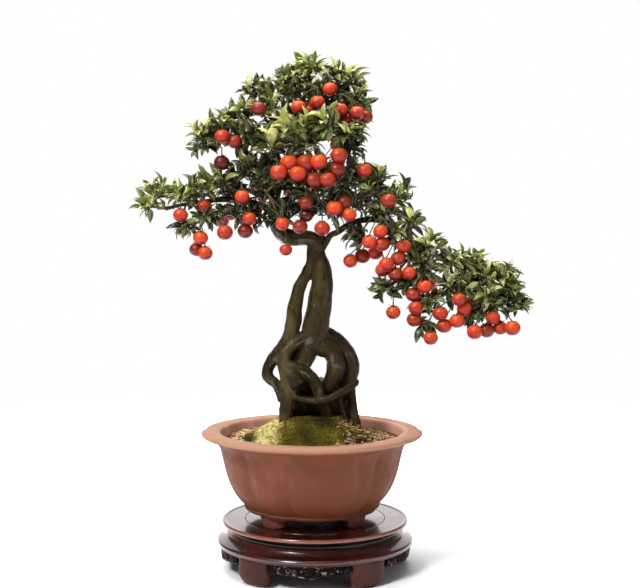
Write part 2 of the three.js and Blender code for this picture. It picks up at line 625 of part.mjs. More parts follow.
// Rings of a twig: its root, then the bottom and top of each whorl.
function twigRings(from, tip, turn, whorls) {
  const forward = tip.clone().sub(from).normalize();
  const across = new THREE.Vector3(0.31, 0.17, 1).cross(forward).normalize();
  const beside = new THREE.Vector3().crossVectors(forward, across);
  const outward = (a) => across.clone().multiplyScalar(Math.cos(a)).addScaledVector(beside, Math.sin(a));
  const back = (distance) => tip.clone().addScaledVector(forward, -distance);
  const centres = [from, ...whorls.flatMap((distance) => [back(distance + WHORL_HEIGHT), back(distance)])];
  const points = centres.flatMap((centre, ring) => Array.from({ length: WHORL }, (_, j) => {
    const a = turn + (j * Math.PI) / 2 + (ring > 2 ? HALF_STEP : 0);
    return centre.clone().addScaledVector(outward(a), ring ? TWIG_RADIUS : ROOT_RADIUS);
  }));
  return { points, forward, outward, last: points.length - WHORL };
}

function twigFace(ring, k) {
  const next = (k + 1) % WHORL;
  return [ring + k, ring + next, ring + WHORL + next, ring + WHORL + k];
}

function endFace(rings) {
  return [0, 1, 2, 3].map((k) => rings.last + k);
}

// The leaves that a twig may bear, each with the face that it grows from.
function leafPlaces(rings, whorls) {
  const places = whorls.flatMap((_, w) => [0, 1, 2, 3].map((k) => ({
    face: twigFace(WHORL * (1 + 2 * w), k), turn: k + 0.5 + w / 2, upright: false,
  })));
  places.push({ face: endFace(rings), turn: 0, upright: true });
  return places;
}

// The blade alone, for trying whether its place is free.
function looseLeaf(rings, face, shape) {
  const points = face.map((i) => rings.points[i].clone());
  const triangles = [0, 2, 1, 0, 3, 2];
  growLeaf(points, triangles, [0, 1, 2, 3], shape);
  return toSolid(indexed(points, triangles));
}

function leafShape(rings, spot, turn, { random, lean }) {
  const a = spot.upright
    ? random() * Math.PI * 2
    : turn + (spot.turn * Math.PI) / 2 + (random() - 0.5) * 0.4;
  const tilt = spot.upright ? 0.3 : lean + random() * 0.45;
  const along = rings.forward.clone().multiplyScalar(Math.cos(tilt))
    .addScaledVector(rings.outward(a), Math.sin(tilt))
    .add(new THREE.Vector3(0, 0, 0.15))
    .normalize();
  const [lowRight, , , highRight] = spot.face;
  const up = spot.upright ? rings.points[highRight].clone().sub(rings.points[lowRight]) : rings.forward;
  const size = 0.86 + random() * 0.28;
  return { along, up, length: LEAF_LENGTH * size, width: LEAF_WIDTH * size };
}

// Builds the twig with every leaf whose place is free. A leaf is tried at a few slopes and sizes.
function leafyTwig(branch) {
  const { owner, from, tip, random, whorls, missing } = branch;
  const turn = random() * Math.PI * 2;
  const rings = twigRings(from, tip, turn, whorls);
  const leaves = new Map();
  const blades = [];
  for (const spot of leafPlaces(rings, whorls)) {
    if (random() < missing) continue;
    for (let attempt = 0; attempt < 6; attempt += 1) {
      const shape = leafShape(rings, spot, turn, branch);
      const blade = looseLeaf(rings, spot.face, shape);
      const crossed = blades.some((other) => blade.intersect(other).volume() > 0.001);
      if (crossed || !isFree(blade, (piece) => piece.from !== from)) continue;
      leaves.set(spot.face.join(), shape);
      blades.push(blade);
      obstacles.push({ owner, solid: blade, from, box: blade.boundingBox() });
      break;
    }
  }
  const points = [...rings.points];
  const triangles = [0, 2, 1, 0, 3, 2];
  const close = (face) => {
    const shape = leaves.get(face.join());
    if (shape) growLeaf(points, triangles, face, shape);
    else triangles.push(face[0], face[1], face[2], face[0], face[2], face[3]);
  };
  for (let ring = 0; ring < rings.last; ring += WHORL) {
    for (let k = 0; k < WHORL; k += 1) close(twigFace(ring, k));
  }
  close(endFace(rings));
  grown.push({ owner, solid: toSolid(indexed(points, triangles)) });
}

// Twig tips are spread evenly over the spray's ellipsoid by the golden angle.
const GOLDEN = Math.PI * (3 - Math.sqrt(5));

function sprayTips(spray, random) {
  const tips = [];
  for (let i = 0; i < spray.tufts; i += 1) {
    const height = 1 - (1.5 * (i + 0.5)) / spray.tufts;
    const flat = Math.sqrt(1 - height * height);
    const a = i * GOLDEN + random() * 0.8;
    const reach = 0.75 + random() * 0.25;
    tips.push(new THREE.Vector3(
      spray.centre[0] + spray.half[0] * flat * Math.cos(a) * reach,
      spray.centre[1] + spray.half[1] * flat * Math.sin(a) * reach,
      spray.centre[2] + spray.half[2] * height * reach,
    ));
  }
  return tips;
}

// A stalk ends in a calyx of four flat lobes just above its fruit.
function stalkWithCalyx(knot, crown) {
  const turn = (crown.x + crown.z) * 0.3;
  const ring = (centre, radius) => Array.from({ length: 4 }, (_, k) => {
    const a = turn - (Math.PI / 2) * k;
    return new THREE.Vector3(radius * Math.cos(a), radius * Math.sin(a), 0).add(centre);
  });
  const neck = crown.clone().add(new THREE.Vector3(0, 0, 1.6));
  return loft([ring(knot, STALK_RADIUS * 0.7), ring(neck, STALK_RADIUS * 1.3), ring(crown, CALYX_RADIUS)]);
}

const sprayNames = Object.keys(SPRAYS);
sprayNames.forEach((name, index) => {
  const spray = SPRAYS[name];
  spray.random = randomSource(1201 + index * 17);
  const [before, end] = spray.branch.slice(-2).map(vector);
  const forward = end.clone().sub(before).normalize();
  const start = end.clone().addScaledVector(forward, GAP);
  const bend = end.clone().addScaledVector(forward, 6);
  const centre = vector(spray.centre);
  spray.stem = [start, bend, centre];
  place(`spray_${name}`, rod([
    [...start.toArray(), STEM_RADIUS],
    [...bend.toArray(), STEM_RADIUS],
    [...centre.toArray(), STEM_RADIUS - 0.2],
  ], 4, 2));
});

// A bare twig is tried first. Where it would run into another piece it is bent to a place nearby.
function freeTip(owner, from, to, random) {
  for (let attempt = 0; attempt < 12; attempt += 1) {
    const stray = new THREE.Vector3(random() - 0.5, random() - 0.5, random() - 0.5).multiplyScalar(attempt * 3);
    const tip = to.clone().add(stray);
    const solid = rod([[...from.toArray(), ROOT_RADIUS], [...tip.toArray(), TWIG_RADIUS]], WHORL, 1);
    if (isClear(owner, solid)) {
      obstacles.push({ owner, solid, from, box: solid.boundingBox() });
      return tip;
    }
  }
  return null;
}

const twigs = [];

// Fruit twigs come first, because the leaves have to keep clear of the stalks.
for (const [name, bunch] of Object.entries(BUNCHES)) {
  const spray = SPRAYS[bunch.spray];
  const owner = `spray_${bunch.spray}`;
  const top = bunch.spots.reduce((a, b) => (b.z > a.z ? b : a));
  const above = top.clone().add(new THREE.Vector3(0, 2, FRUIT_RADIUS + 10));
  spray.bunches = (spray.bunches ?? 0) + 1;
  const from = spray.stem[2].clone().lerp(spray.stem[1], 0.18 * spray.bunches - 0.1);
  const knot = freeTip(owner, from, above, spray.random);
  if (!knot) throw new Error(`no way for the twig to the bunch ${name}`);
  const back = from.clone().sub(knot).normalize();
  bunch.spots.forEach((spot, i) => {
    const crown = spot.clone().add(new THREE.Vector3(0, 0, FRUIT_CORNER * FRUIT_SQUASH + GAP));
    const start = knot.clone().addScaledVector(back, 5 + 3 * i);
    const stalk = stalkWithCalyx(start, crown);
    if (isClear(owner, stalk)) place(owner, stalk, from);
  });
  twigs.push({ owner, from, tip: knot, random: spray.random, whorls: [0], missing: 0.4, lean: 1.4 });
}

for (const name of sprayNames) {
  const spray = SPRAYS[name];
  const owner = `spray_${name}`;
  const middle = vector(spray.centre);
  sprayTips(spray, spray.random).forEach((target, i) => {
    const from = spray.stem[1].clone().lerp(middle, 0.3 + (0.7 * i) / spray.tufts);
    const tip = freeTip(owner, from, target, spray.random);
    if (!tip) return;
    const whorls = tip.distanceTo(from) > LOWER_WHORL * 1.8 ? [LOWER_WHORL, 0] : [0];
    twigs.push({ owner, from, tip, random: spray.random, whorls, missing: 0.06, lean: 0.8 });
  });
}

twigs.forEach(leafyTwig);

// Soil and the moss mound: both are cut by the roots, which stand in plain holes.

const rootHoles = Manifold.union(woodStrands(GAP));

const soilBody = toSolid(lobed(turned([
  [0, POT_FLOOR + GAP],
  [72, POT_FLOOR + GAP],
  [97, 120],
  [SOIL_RADIUS - 2, SOIL_TOP - 1],
  [0, SOIL_TOP],
], POT_SIDES)));

function mossHeight(x, y) {
  const share = Math.hypot((x - MOSS_X) / MOSS_RX, (y - MOSS_Y) / MOSS_RY);
  const bumps = 1.6 * Math.sin(x * 0.13 + 1) * Math.cos(y * 0.17) * (1 - share);
  return SOIL_TOP + GAP + Math.min(MOSS_HEIGHT, 52 * (1 - share)) + bumps;
}

const MOSS_SIDES = 16;
const MOSS_RINGS = [0.8, 0.6, 0.38];

function mossSolid() {
  const ring = (share, height) => Array.from({ length: MOSS_SIDES }, (_, j) => {
    const a = (2 * Math.PI * j) / MOSS_SIDES;
    const uneven = 1 + 0.05 * Math.sin(3 * a) + 0.04 * Math.cos(5 * a);
    const x = MOSS_X + MOSS_RX * share * uneven * Math.cos(a);
    const y = MOSS_Y + MOSS_RY * share * uneven * Math.sin(a);
    return new THREE.Vector3(x, y, height ?? mossHeight(x, y));
  });
  const floor = SOIL_TOP + GAP;
  return loft([
    ring(0.98, floor),
    ring(1, floor + 1.2),
    ...MOSS_RINGS.map((share) => ring(share)),
  ]);
}

const moss = mossSolid();
place('moss', moss);

addNode('soil', fuse([soilBody.subtract(rootHoles)]), 'soil');
addNode('moss', fuse([moss.subtract(rootHoles)]), 'moss');
addNode('wood', fuse(solidsOf('wood')), 'bark');
for (const name of sprayNames) addNode(`spray_${name}`, fuse(solidsOf(`spray_${name}`)), 'leaf');
for (const name of Object.keys(BUNCHES)) addNode(`fruit_${name}`, fuse(solidsOf(`fruit_${name}`)), 'fruit');

// The origin goes to the middle of the whole box in plan, at the bottom.
const box = new THREE.Box3().setFromObject(tree);
tree.position.set(-(box.min.x + box.max.x) / 2, -(box.min.y + box.max.y) / 2, -box.min.z);

const bonsai = new THREE.Group();
bonsai.add(tree);

export default bonsai;
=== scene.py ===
import math
import random

import bpy
import numpy as np
from mathutils import Matrix, Vector, noise


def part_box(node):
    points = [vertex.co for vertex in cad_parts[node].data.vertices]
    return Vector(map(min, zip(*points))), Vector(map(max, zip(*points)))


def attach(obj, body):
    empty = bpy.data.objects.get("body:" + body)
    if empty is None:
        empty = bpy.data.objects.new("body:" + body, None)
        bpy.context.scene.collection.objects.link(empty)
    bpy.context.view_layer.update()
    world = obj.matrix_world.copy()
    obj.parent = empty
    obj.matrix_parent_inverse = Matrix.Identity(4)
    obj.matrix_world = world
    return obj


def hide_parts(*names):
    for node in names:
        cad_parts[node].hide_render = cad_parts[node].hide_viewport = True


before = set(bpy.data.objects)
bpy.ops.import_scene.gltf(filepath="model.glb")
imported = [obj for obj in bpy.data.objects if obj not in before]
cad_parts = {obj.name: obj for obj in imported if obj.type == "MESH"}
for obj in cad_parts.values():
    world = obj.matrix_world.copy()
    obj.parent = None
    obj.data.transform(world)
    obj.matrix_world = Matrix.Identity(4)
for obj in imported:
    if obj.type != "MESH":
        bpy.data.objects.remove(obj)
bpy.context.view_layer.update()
bpy.ops.object.select_all(action="DESELECT")

# The studio: a pale floor, a white room, a soft light at the upper left, a weaker one at the right, one
# overhead and a broad white screen behind. The camera stands level with the trunk, a step and a half
# away, and looks a little down.
mm = 0.001
ring_low, ring_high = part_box("stand_top_ring")
stand_x = (ring_low.x + ring_high.x) / 2
LOOKS_DOWN = 2.85
LOOKS_RIGHT = 0.244


def add_object(name, data):
    thing = bpy.data.objects.new(name, data)
    bpy.context.scene.collection.objects.link(thing)
    return thing


camera_data = bpy.data.cameras.new("camera")
camera_data.lens = 66.0
camera_data.sensor_width = 36
camera = add_object("camera", camera_data)
camera.location = (stand_x, -1.525, 0.433)
camera.rotation_euler = (math.radians(90 - LOOKS_DOWN), 0, math.radians(-LOOKS_RIGHT))
bpy.context.scene.camera = camera


def soft_light(name, stands_at, points_at, size, power):
    """A round soft lamp, with its size in metres and its power in watts."""
    light_data = bpy.data.lights.new(name, "AREA")
    light_data.shape = "DISK"
    light_data.size = size
    light_data.energy = power
    light = add_object(name, light_data)
    light.location = stands_at
    light.rotation_euler = (Vector(points_at) - Vector(stands_at)).to_track_quat("-Z", "Y").to_euler()


soft_light("key_light", (-1.1, -1.5, 1.9), (0, 0, 0.35), size=0.6, power=56)
soft_light("fill_light", (1.6, -1.2, 0.8), (0, 0, 0.35), size=1.4, power=5)
soft_light("top_light", (-0.2, 0.2, 2.2), (0, 0, 0), size=1.8, power=66)
soft_light("white_screen", (0, 2.3, 0.9), (0, 0, 0.3), size=3.6, power=36)


def put_node(tree, kind, **settings):
    node = tree.nodes.new(kind)
    for label, value in settings.items():
        setattr(node, label, value)
    return node


def set_inputs(node, **values):
    """Sets a node's inputs by their names, with each space written as an underscore."""
    for label, value in values.items():
        node.inputs[label.replace("_", " ")].default_value = value


def wire(tree, *links):
    """Links the nodes of a tree. A link is a node, its output, the next node and its input."""
    for node, output, next_node, socket in links:
        tree.links.new(node.outputs[output], next_node.inputs[socket])


# The room is white where it is looked at and dim where it only lights the object.
ROOM_LIGHT = 0.12
room = bpy.data.worlds.new("white_room")
room.use_nodes = True
backdrop = room.node_tree.nodes["Background"]
set_inputs(backdrop, Color=(1, 1, 1, 1))
seen = put_node(room.node_tree, "ShaderNodeLightPath")
brightness = put_node(room.node_tree, "ShaderNodeMapRange")
set_inputs(brightness, To_Min=ROOM_LIGHT, To_Max=1.0)
wire(room.node_tree, (seen, "Is Camera Ray", brightness, "Value"),
     (brightness, "Result", backdrop, "Strength"))
bpy.context.scene.world = room
bpy.context.scene.view_settings.view_transform = "Standard"


def start(name):
    material = bpy.data.materials.new(name)
    material.use_nodes = True
    return material


def shader_of(material):
    return material.node_tree.nodes["Principled BSDF"]


# The floor is matt and pale, and away from the object it glows: painted light that fades it into the white of
# the room.
bpy.ops.mesh.primitive_circle_add(vertices=64, radius=1.7, fill_type="NGON")
floor = bpy.context.object
floor.name = "floor"
pale_floor = start("pale_floor")
set_inputs(shader_of(pale_floor), Base_Color=(0.97, 0.97, 0.97, 1), Roughness=0.7,
           Emission_Color=(1, 1, 1, 1))
floor_place = put_node(pale_floor.node_tree, "ShaderNodeTexCoord")
floor_reach = put_node(pale_floor.node_tree, "ShaderNodeVectorMath", operation="LENGTH")
floor_fade = put_node(pale_floor.node_tree, "ShaderNodeMapRange", interpolation_type="SMOOTHSTEP")
set_inputs(floor_fade, From_Min=0.25, From_Max=1.2)
wire(pale_floor.node_tree, (floor_place, "Object", floor_reach, 0),
     (floor_reach, "Value", floor_fade, "Value"),
     (floor_fade, "Result", shader_of(pale_floor), "Emission Strength"))
floor.data.materials.append(pale_floor)


# The stand's lacquer: dark red-brown, brushed on in thin coats over fine wood and rubbed to a gloss.
# It is redder where it is thin, and paler along the edges, where it has worn and where a highlight is
# painted.
def paint(red, green, blue):
    """A colour given as on a screen, from 0 to 255, turned into light."""
    values = [v / 255 for v in (red, green, blue)]
    return [v / 12.92 if v <= 0.04045 else ((v + 0.055) / 1.055) ** 2.4 for v in values] + [1]


def new_effect(name, kind, inputs, outputs):
    """An empty effect for materials to share: its tree and the nodes where it is entered and left."""
    tree = bpy.data.node_groups.new(name, "ShaderNodeTree")
    for label in inputs:
        tree.interface.new_socket(label, in_out="INPUT", socket_type=kind)
    for label in outputs:
        tree.interface.new_socket(label, in_out="OUTPUT", socket_type="NodeSocketFloat")
    return tree, put_node(tree, "NodeGroupInput"), put_node(tree, "NodeGroupOutput")


# Soft-edged patches, for stains, sheen and wear: one noise on the object's own coordinates, cut off
# between two levels. "Stretch" under 1 draws the patches out upright.
patches, patch_in, patch_out = new_effect(
    "patches", "NodeSocketFloat", ["Scale", "Low", "High", "Stretch", "Detail"], ["Mask"])
patch_place = put_node(patches, "ShaderNodeTexCoord")
patch_stretch = put_node(patches, "ShaderNodeCombineXYZ")
set_inputs(patch_stretch, X=1, Y=1)
patch_scaled = put_node(patches, "ShaderNodeVectorMath", operation="MULTIPLY")
patch_noise = put_node(patches, "ShaderNodeTexNoise")
patch_cut = put_node(patches, "ShaderNodeMapRange", interpolation_type="SMOOTHSTEP")
wire(patches, (patch_in, "Stretch", patch_stretch, "Z"), (patch_place, "Object", patch_scaled, 0),
     (patch_stretch, "Vector", patch_scaled, 1), (patch_scaled, "Vector", patch_noise, "Vector"),
     (patch_in, "Scale", patch_noise, "Scale"), (patch_in, "Detail", patch_noise, "Detail"),
     (patch_noise, "Fac", patch_cut, "Value"), (patch_in, "Low", patch_cut, "From Min"),
     (patch_in, "High", patch_cut, "From Max"), (patch_cut, "Result", patch_out, "Mask"))


# Where a point lies on turned work: how far from the lathe's axis, and how high, in millimetres.
turned, turned_in, turned_out = new_effect("turned_place", "NodeSocketVector", ["Axis"], ["Radius", "Height"])
turned_at = put_node(turned, "ShaderNodeTexCoord")
turned_arm = put_node(turned, "ShaderNodeVectorMath", operation="SUBTRACT")
turned_scaled = put_node(turned, "ShaderNodeVectorMath", operation="SCALE")
set_inputs(turned_scaled, Scale=1 / mm)
turned_flat = put_node(turned, "ShaderNodeVectorMath", operation="MULTIPLY")
turned_flat.inputs[1].default_value = (1, 1, 0)
turned_reach = put_node(turned, "ShaderNodeVectorMath", operation="LENGTH")
turned_parts = put_node(turned, "ShaderNodeSeparateXYZ")
wire(turned, (turned_at, "Object", turned_arm, 0), (turned_in, "Axis", turned_arm, 1),
     (turned_arm, "Vector", turned_scaled, 0), (turned_scaled, "Vector", turned_flat, 0),
     (turned_scaled, "Vector", turned_parts, 0), (turned_flat, "Vector", turned_reach, 0),
     (turned_reach, "Value", turned_out, "Radius"), (turned_parts, "Z", turned_out, "Height"))


def turned_place(material):
    """A point's distance from the stand's axis and its height, in millimetres."""
    node = put_node(material.node_tree, "ShaderNodeGroup", node_tree=turned)
    set_inputs(node, Axis=(stand_x, 0, 0))
    return node.outputs["Radius"], node.outputs["Height"]


def patchy(material, scale, low, high, stretch=1.0, detail=4.0):
    """Soft-edged patches: 1 inside them and 0 between them."""
    node = put_node(material.node_tree, "ShaderNodeGroup", node_tree=patches)
    set_inputs(node, Scale=scale, Low=low, High=high, Stretch=stretch, Detail=detail)
    return node.outputs["Mask"]


def fill(material, socket, source):
    """Sets a socket to a colour or number, or links it to another node's output."""
    if isinstance(source, bpy.types.NodeSocket):
        material.node_tree.links.new(source, socket)
    else:
        socket.default_value = source


def blend(material, factor, first, second):
    node = put_node(material.node_tree, "ShaderNodeMix", data_type="RGBA")
    fill(material, node.inputs[0], factor)
    fill(material, node.inputs[6], first)
    fill(material, node.inputs[7], second)
    return node.outputs[2]


def sum_up(material, operation, first, second=0.0):
    node = put_node(material.node_tree, "ShaderNodeMath", operation=operation)
    fill(material, node.inputs[0], first)
    fill(material, node.inputs[1], second)
    return node.outputs[0]


def between(material, source, low, high, to_low=0.0, to_high=1.0):
    """What lies from "low" to "high" is spread from "to_low" to "to_high", and held beyond them."""
    node = put_node(material.node_tree, "ShaderNodeMapRange")
    fill(material, node.inputs["Value"], source)
    set_inputs(node, From_Min=low, From_Max=high, To_Min=to_low, To_Max=to_high)
    return node.outputs["Result"]


def band(material, source, low, high, soft):
    """1 between two levels and 0 outside them, with a soft edge."""
    rises = between(material, source, low - soft, low + soft)
    falls = between(material, source, high - soft, high + soft, 1, 0)
    return sum_up(material, "MULTIPLY", rises, falls)


def wander(material, patch, least, most):
    """A number that wanders over the surface, by patches given as [scale, low, high]."""
    return between(material, patchy(material, *patch), 0, 1, least, most)


def finish(material, colour, roughness, relief, strength, depth, coat=0.0, specular=0.5):
    """Ends a material: its colour, roughness, coat and a relief of a depth in mm go to its shader."""
    shader = shader_of(material)
    for label, source in (("Base Color", colour), ("Roughness", roughness), ("Coat Weight", coat)):
        fill(material, shader.inputs[label], source)
    set_inputs(shader, Coat_Roughness=0.12, Specular_IOR_Level=specular)
    bump = put_node(material.node_tree, "ShaderNodeBump")
    set_inputs(bump, Strength=strength, Distance=depth * mm)
    fill(material, bump.inputs["Height"], relief)
    fill(material, shader.inputs["Normal"], bump.outputs["Normal"])


SEAM_RADIUS = 91.4
SEAM_WIDTH = 1.6

lacquer = start("red_brown_lacquer")
thin_coat = blend(lacquer, patchy(lacquer, 18, 0.35, 0.7), paint(34, 6, 5), paint(56, 14, 10))
brushed = blend(lacquer, patchy(lacquer, 150, 0.45, 0.8, 3), thin_coat, paint(34, 8, 6))
from_axis, up = turned_place(lacquer)
seam = band(lacquer, from_axis, SEAM_RADIUS - SEAM_WIDTH / 2, SEAM_RADIUS + SEAM_WIDTH / 2, 0.4)
seamed = blend(lacquer, seam, brushed, paint(12, 5, 4))


def worn_and_lit_edge(radii, heights, soft, share):
    """An edge paled by wear and by a painted highlight, between two radii and two heights, and how strongly
    it is paled.
    """
    across = band(lacquer, from_axis, *radii, soft)
    level = band(lacquer, up, *heights, 0.6)
    return sum_up(lacquer, "MULTIPLY", sum_up(lacquer, "MULTIPLY", across, level), share)


# Painted highlights with some wear: the board's lip, the tier's edge and the waist's lower lip are painted
# paler.
lip_wear_and_highlight = worn_and_lit_edge((120.2, 125), (60.4, 65), 0.5, 0.66)
tier_wear_and_highlight = worn_and_lit_edge((126.4, 130), (36, 38.4), 0.5, 0.22)
waist_wear_and_highlight = worn_and_lit_edge((111, 114.6), (47.6, 50), 0.7, 0.22)
wear_and_highlights = sum_up(lacquer, "MAXIMUM", sum_up(lacquer, "MAXIMUM", lip_wear_and_highlight, tier_wear_and_highlight), waist_wear_and_highlight)
edged = blend(lacquer, wear_and_highlights, seamed, paint(146, 96, 80))
# Painted shade: the waist's hollow under the board is painted near black, and its coat is mostly taken off.
waist_shade = band(lacquer, up, 50.4, 57.8, 0.6)
waist_shaded = blend(lacquer, waist_shade, edged, paint(12, 3, 2))
coat_left = between(lacquer, waist_shade, 0, 1, 1, 0.06)
finish(lacquer, waist_shaded, wander(lacquer, (60, 0.3, 0.8), 0.2, 0.32), patchy(lacquer, 420, 0.2, 0.8, 2),
       strength=0.1, depth=0.15, coat=coat_left, specular=0.3)
set_inputs(shader_of(lacquer), Coat_Tint=paint(255, 236, 234))

satin = start("satin_lacquer")
satin_coat = blend(satin, patchy(satin, 22, 0.35, 0.7), paint(54, 22, 15), paint(76, 36, 28))
satin_brushed = blend(satin, patchy(satin, 150, 0.45, 0.8, 3), satin_coat, paint(50, 21, 16))
finish(satin, satin_brushed, wander(satin, (60, 0.3, 0.8), 0.36, 0.5), patchy(satin, 420, 0.2, 0.8, 2),
       strength=0.1, depth=0.15, coat=0.1, specular=0.16)


# The stand's board: a ring turned in the lathe with a raised rounded lip, and a round panel let into
# a step at its inner edge. The seam between them shows as a thin dark line.
def choose(piece, *others):
    """Selects a piece, alone or with others, and makes it the active one."""
    bpy.ops.object.select_all(action="DESELECT")
    for each in (piece, *others):
        each.select_set(True)
    bpy.context.view_layer.objects.active = piece


def place(piece, name, material, slot, *nodes):
    """Puts a finished piece where the part's own pieces are: its place goes into its mesh."""
    choose(piece)
    bpy.ops.object.transform_apply(location=True, rotation=True, scale=True)
    piece.name = name
    piece.data.name = name
    piece.data.materials.clear()
    piece.data.materials.append(material)
    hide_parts(*nodes)
    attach(piece, "root")
    piece.select_set(False)


def turn(profile, sides, centre_x):
    """Turns a closed ring: a circle is drawn out and resized from one [radius, height] to the next."""
    radius, height = profile[0]
    bpy.ops.mesh.primitive_circle_add(vertices=sides, radius=radius * mm, location=(centre_x, 0, height * mm))
    bpy.ops.object.mode_set(mode="EDIT")
    bpy.ops.mesh.select_all(action="SELECT")
    for (last_radius, last_height), (radius, height) in zip(profile, profile[1:] + profile[:1]):
        grow = radius / last_radius
        rise = (0, 0, (height - last_height) * mm)
        bpy.ops.mesh.extrude_region_move(TRANSFORM_OT_translate={"value": rise})
        bpy.ops.transform.resize(value=(grow, grow, 1), center_override=(centre_x, 0, 0))
    bpy.ops.mesh.select_all(action="SELECT")
    bpy.ops.mesh.remove_doubles(threshold=1e-6)
    bpy.ops.mesh.normals_make_consistent(inside=False)
    bpy.ops.object.mode_set(mode="OBJECT")
    bpy.ops.object.shade_smooth_by_angle(angle=TURNED_EDGE)
    return bpy.context.object


def apply_modifier(piece, kind, **settings):
    """Gives the active piece a modifier with these settings, and applies it."""
    modifier = piece.modifiers.new(kind, kind)
    for label, value in settings.items():
        setattr(modifier, label, value)
    bpy.ops.object.modifier_apply(modifier=kind)


TURNED_EDGE = math.radians(38)
STAND_SIDES = 144
ring_profile = [[84, 58], [115, 58], [119.5, 58.6], [121.3, 60], [121.7, 61.6], [121.3, 63.2], [120.2, 64.3],
                [118.8, 64.6], [117.4, 64.2], [116.4, 63.5], [115.6, 63.34], [114.6, 63.36], [93, 63.98],
                [92.4, 64], [91.9, 63.8], [91.5, 63.2], [91.3, 59.7], [84, 59.7]]
place(turn(ring_profile, STAND_SIDES, stand_x), "board_ring", lacquer, "lacquer", "stand_top_ring")

PANEL_RADIUS = 91
PANEL_THICK = 4
STAND_TOP = 64
bpy.ops.mesh.primitive_cylinder_add(vertices=STAND_SIDES, radius=PANEL_RADIUS * mm, depth=PANEL_THICK * mm,
                                    location=(stand_x, 0, (STAND_TOP - PANEL_THICK / 2) * mm))
panel = bpy.context.object
apply_modifier(panel, "BEVEL", width=0.7 * mm, segments=3)
bpy.ops.object.shade_smooth_by_angle(angle=TURNED_EDGE)
place(panel, "board_panel", lacquer, "lacquer", "stand_top_panel")


# The stand's waist: a hollow moulding under the board that spreads in an S to the wider lower tier,
# turned from one ring of wood.
waist_profile = [[97, 57.7], [112, 57.7], [112.8, 56.6], [111.4, 55.2], [110, 53], [109.8, 51], [110.8, 49.4],
                 [112.6, 48.6], [114.6, 48.2], [115.6, 47.2], [116.4, 45.6], [118.6, 43.8], [121.4, 42],
                 [124.2, 40.6], [126.4, 39.6], [127.6, 38.4], [127.9, 37], [127.6, 35.8], [127, 35],
                 [127.2, 33.6], [126.8, 33], [97, 33]]
place(turn(waist_profile, STAND_SIDES, stand_x), "waist_and_tier", lacquer, "lacquer", "stand_waist_and_tier")


# The stand's legs: five stout blocks, full and smooth below the tier and drawn in to a rounded foot.
# Each is sawn to the stand's round and rubbed down.
LEG_COUNT = 5
LEG_STEP = 360 / LEG_COUNT
FIRST_LEG = -39.2
ROUNDED_EDGE = math.radians(50)


def on_ring(radius, azimuth, height):
    """A place so many degrees round the stand from its front, toward its right."""
    turn_by = math.radians(azimuth)
    return Vector((stand_x + radius * mm * math.sin(turn_by), -radius * mm * math.cos(turn_by), height * mm))


def skin(name, rings):
    """A closed body through rings of equally many places, with a flat face at each end."""
    around = len(rings[0])
    faces = [list(range(around))[::-1], [(len(rings) - 1) * around + j for j in range(around)]]
    for i in range(len(rings) - 1):
        for j in range(around):
            k = (j + 1) % around
            faces.append([i * around + j, i * around + k, (i + 1) * around + k, (i + 1) * around + j])
    mesh = bpy.data.meshes.new(name)
    mesh.from_pydata([p for ring in rings for p in ring], [], faces)
    body = add_object(name, mesh)
    choose(body)
    bpy.ops.object.mode_set(mode="EDIT")
    bpy.ops.mesh.select_all(action="SELECT")
    bpy.ops.mesh.normals_make_consistent(inside=False)
    bpy.ops.object.mode_set(mode="OBJECT")
    bpy.ops.object.shade_smooth_by_angle(angle=ROUNDED_EDGE)
    return body


def block_ring(azimuth, height, outer, width, thickness, sides=32, corner=0.5, lobes=0.0):
    """A ring round an upright block that is bent to the stand's round. A small "corner" makes it squarer."""
    places = []
    for step in range(sides):
        turn_by = 2 * math.pi * step / sides
        lobe = 1 + lobes * math.cos(5 * turn_by)
        flat = [math.copysign(abs(v) ** corner, v) * lobe for v in (math.cos(turn_by), math.sin(turn_by))]
        span = math.degrees(width / 2 / outer) * flat[0]
        places.append(on_ring(outer - thickness / 2 + flat[1] * thickness / 2, azimuth + span, height))
    return places


# Each section of a leg is [height, radius of its outer face, width, thickness].
leg_sections = [[0, 120, 26, 13.6], [0.7, 121, 31, 15], [2, 122.2, 36, 16], [4, 123.6, 41.4, 16.6],
                [6.4, 124.8, 46, 16.9], [9, 125.8, 49.6, 17], [12, 126.6, 51.6, 17], [15, 127.1, 52, 16.8],
                [18, 127.4, 51, 16.5], [21.5, 127.6, 48.6, 16.2], [25, 127.6, 47.2, 16], [29, 127.5, 48, 16],
                [31.4, 127.4, 50, 16], [32.7, 127, 50, 15.6]]
for leg in range(LEG_COUNT):
    leg_rings = [block_ring(FIRST_LEG + leg * LEG_STEP, *section) for section in leg_sections]
    place(skin("leg", leg_rings), f"leg_{leg + 1}", satin, "lacquer", f"stand_leg_{leg + 1}")


# The stand's aprons: a bent board between two legs, carved into running scrolls with pierced ground and
# a scalloped lower edge. Its ground is painted near black, painted shade in the piercing, and its raised
# scrolls carry painted highlights, sparse bright glints.
carved = start("carved_lacquer")
# Painted shade and highlights: the ground is near black, and the raised scrolls carry sparse bright glints.
carved_ground_shade = blend(carved, patchy(carved, 90, 0.3, 0.7), paint(4, 1, 1), paint(12, 5, 4))
ridge_glints = blend(carved, patchy(carved, 190, 0.52, 0.66), paint(36, 17, 14), paint(214, 180, 176))
glinting_ridge = between(carved, turned_place(carved)[0], 122.3, 123.4)
carved_tone = blend(carved, glinting_ridge, carved_ground_shade, ridge_glints)
finish(carved, carved_tone, wander(carved, (200, 0.3, 0.7), 0.28, 0.45), patchy(carved, 700, 0.2, 0.8),
       strength=0.25, depth=0.3, specular=0.09)

APRON_SPAN = 48.6
APRON_HALF = 51
APRON_RADIUS = 121
APRON_THICK = 5
APRON_TOP = 32.7
APRON_COLUMNS = 48
CARVING_THICK = 0.82
CURL_STEPS = 18

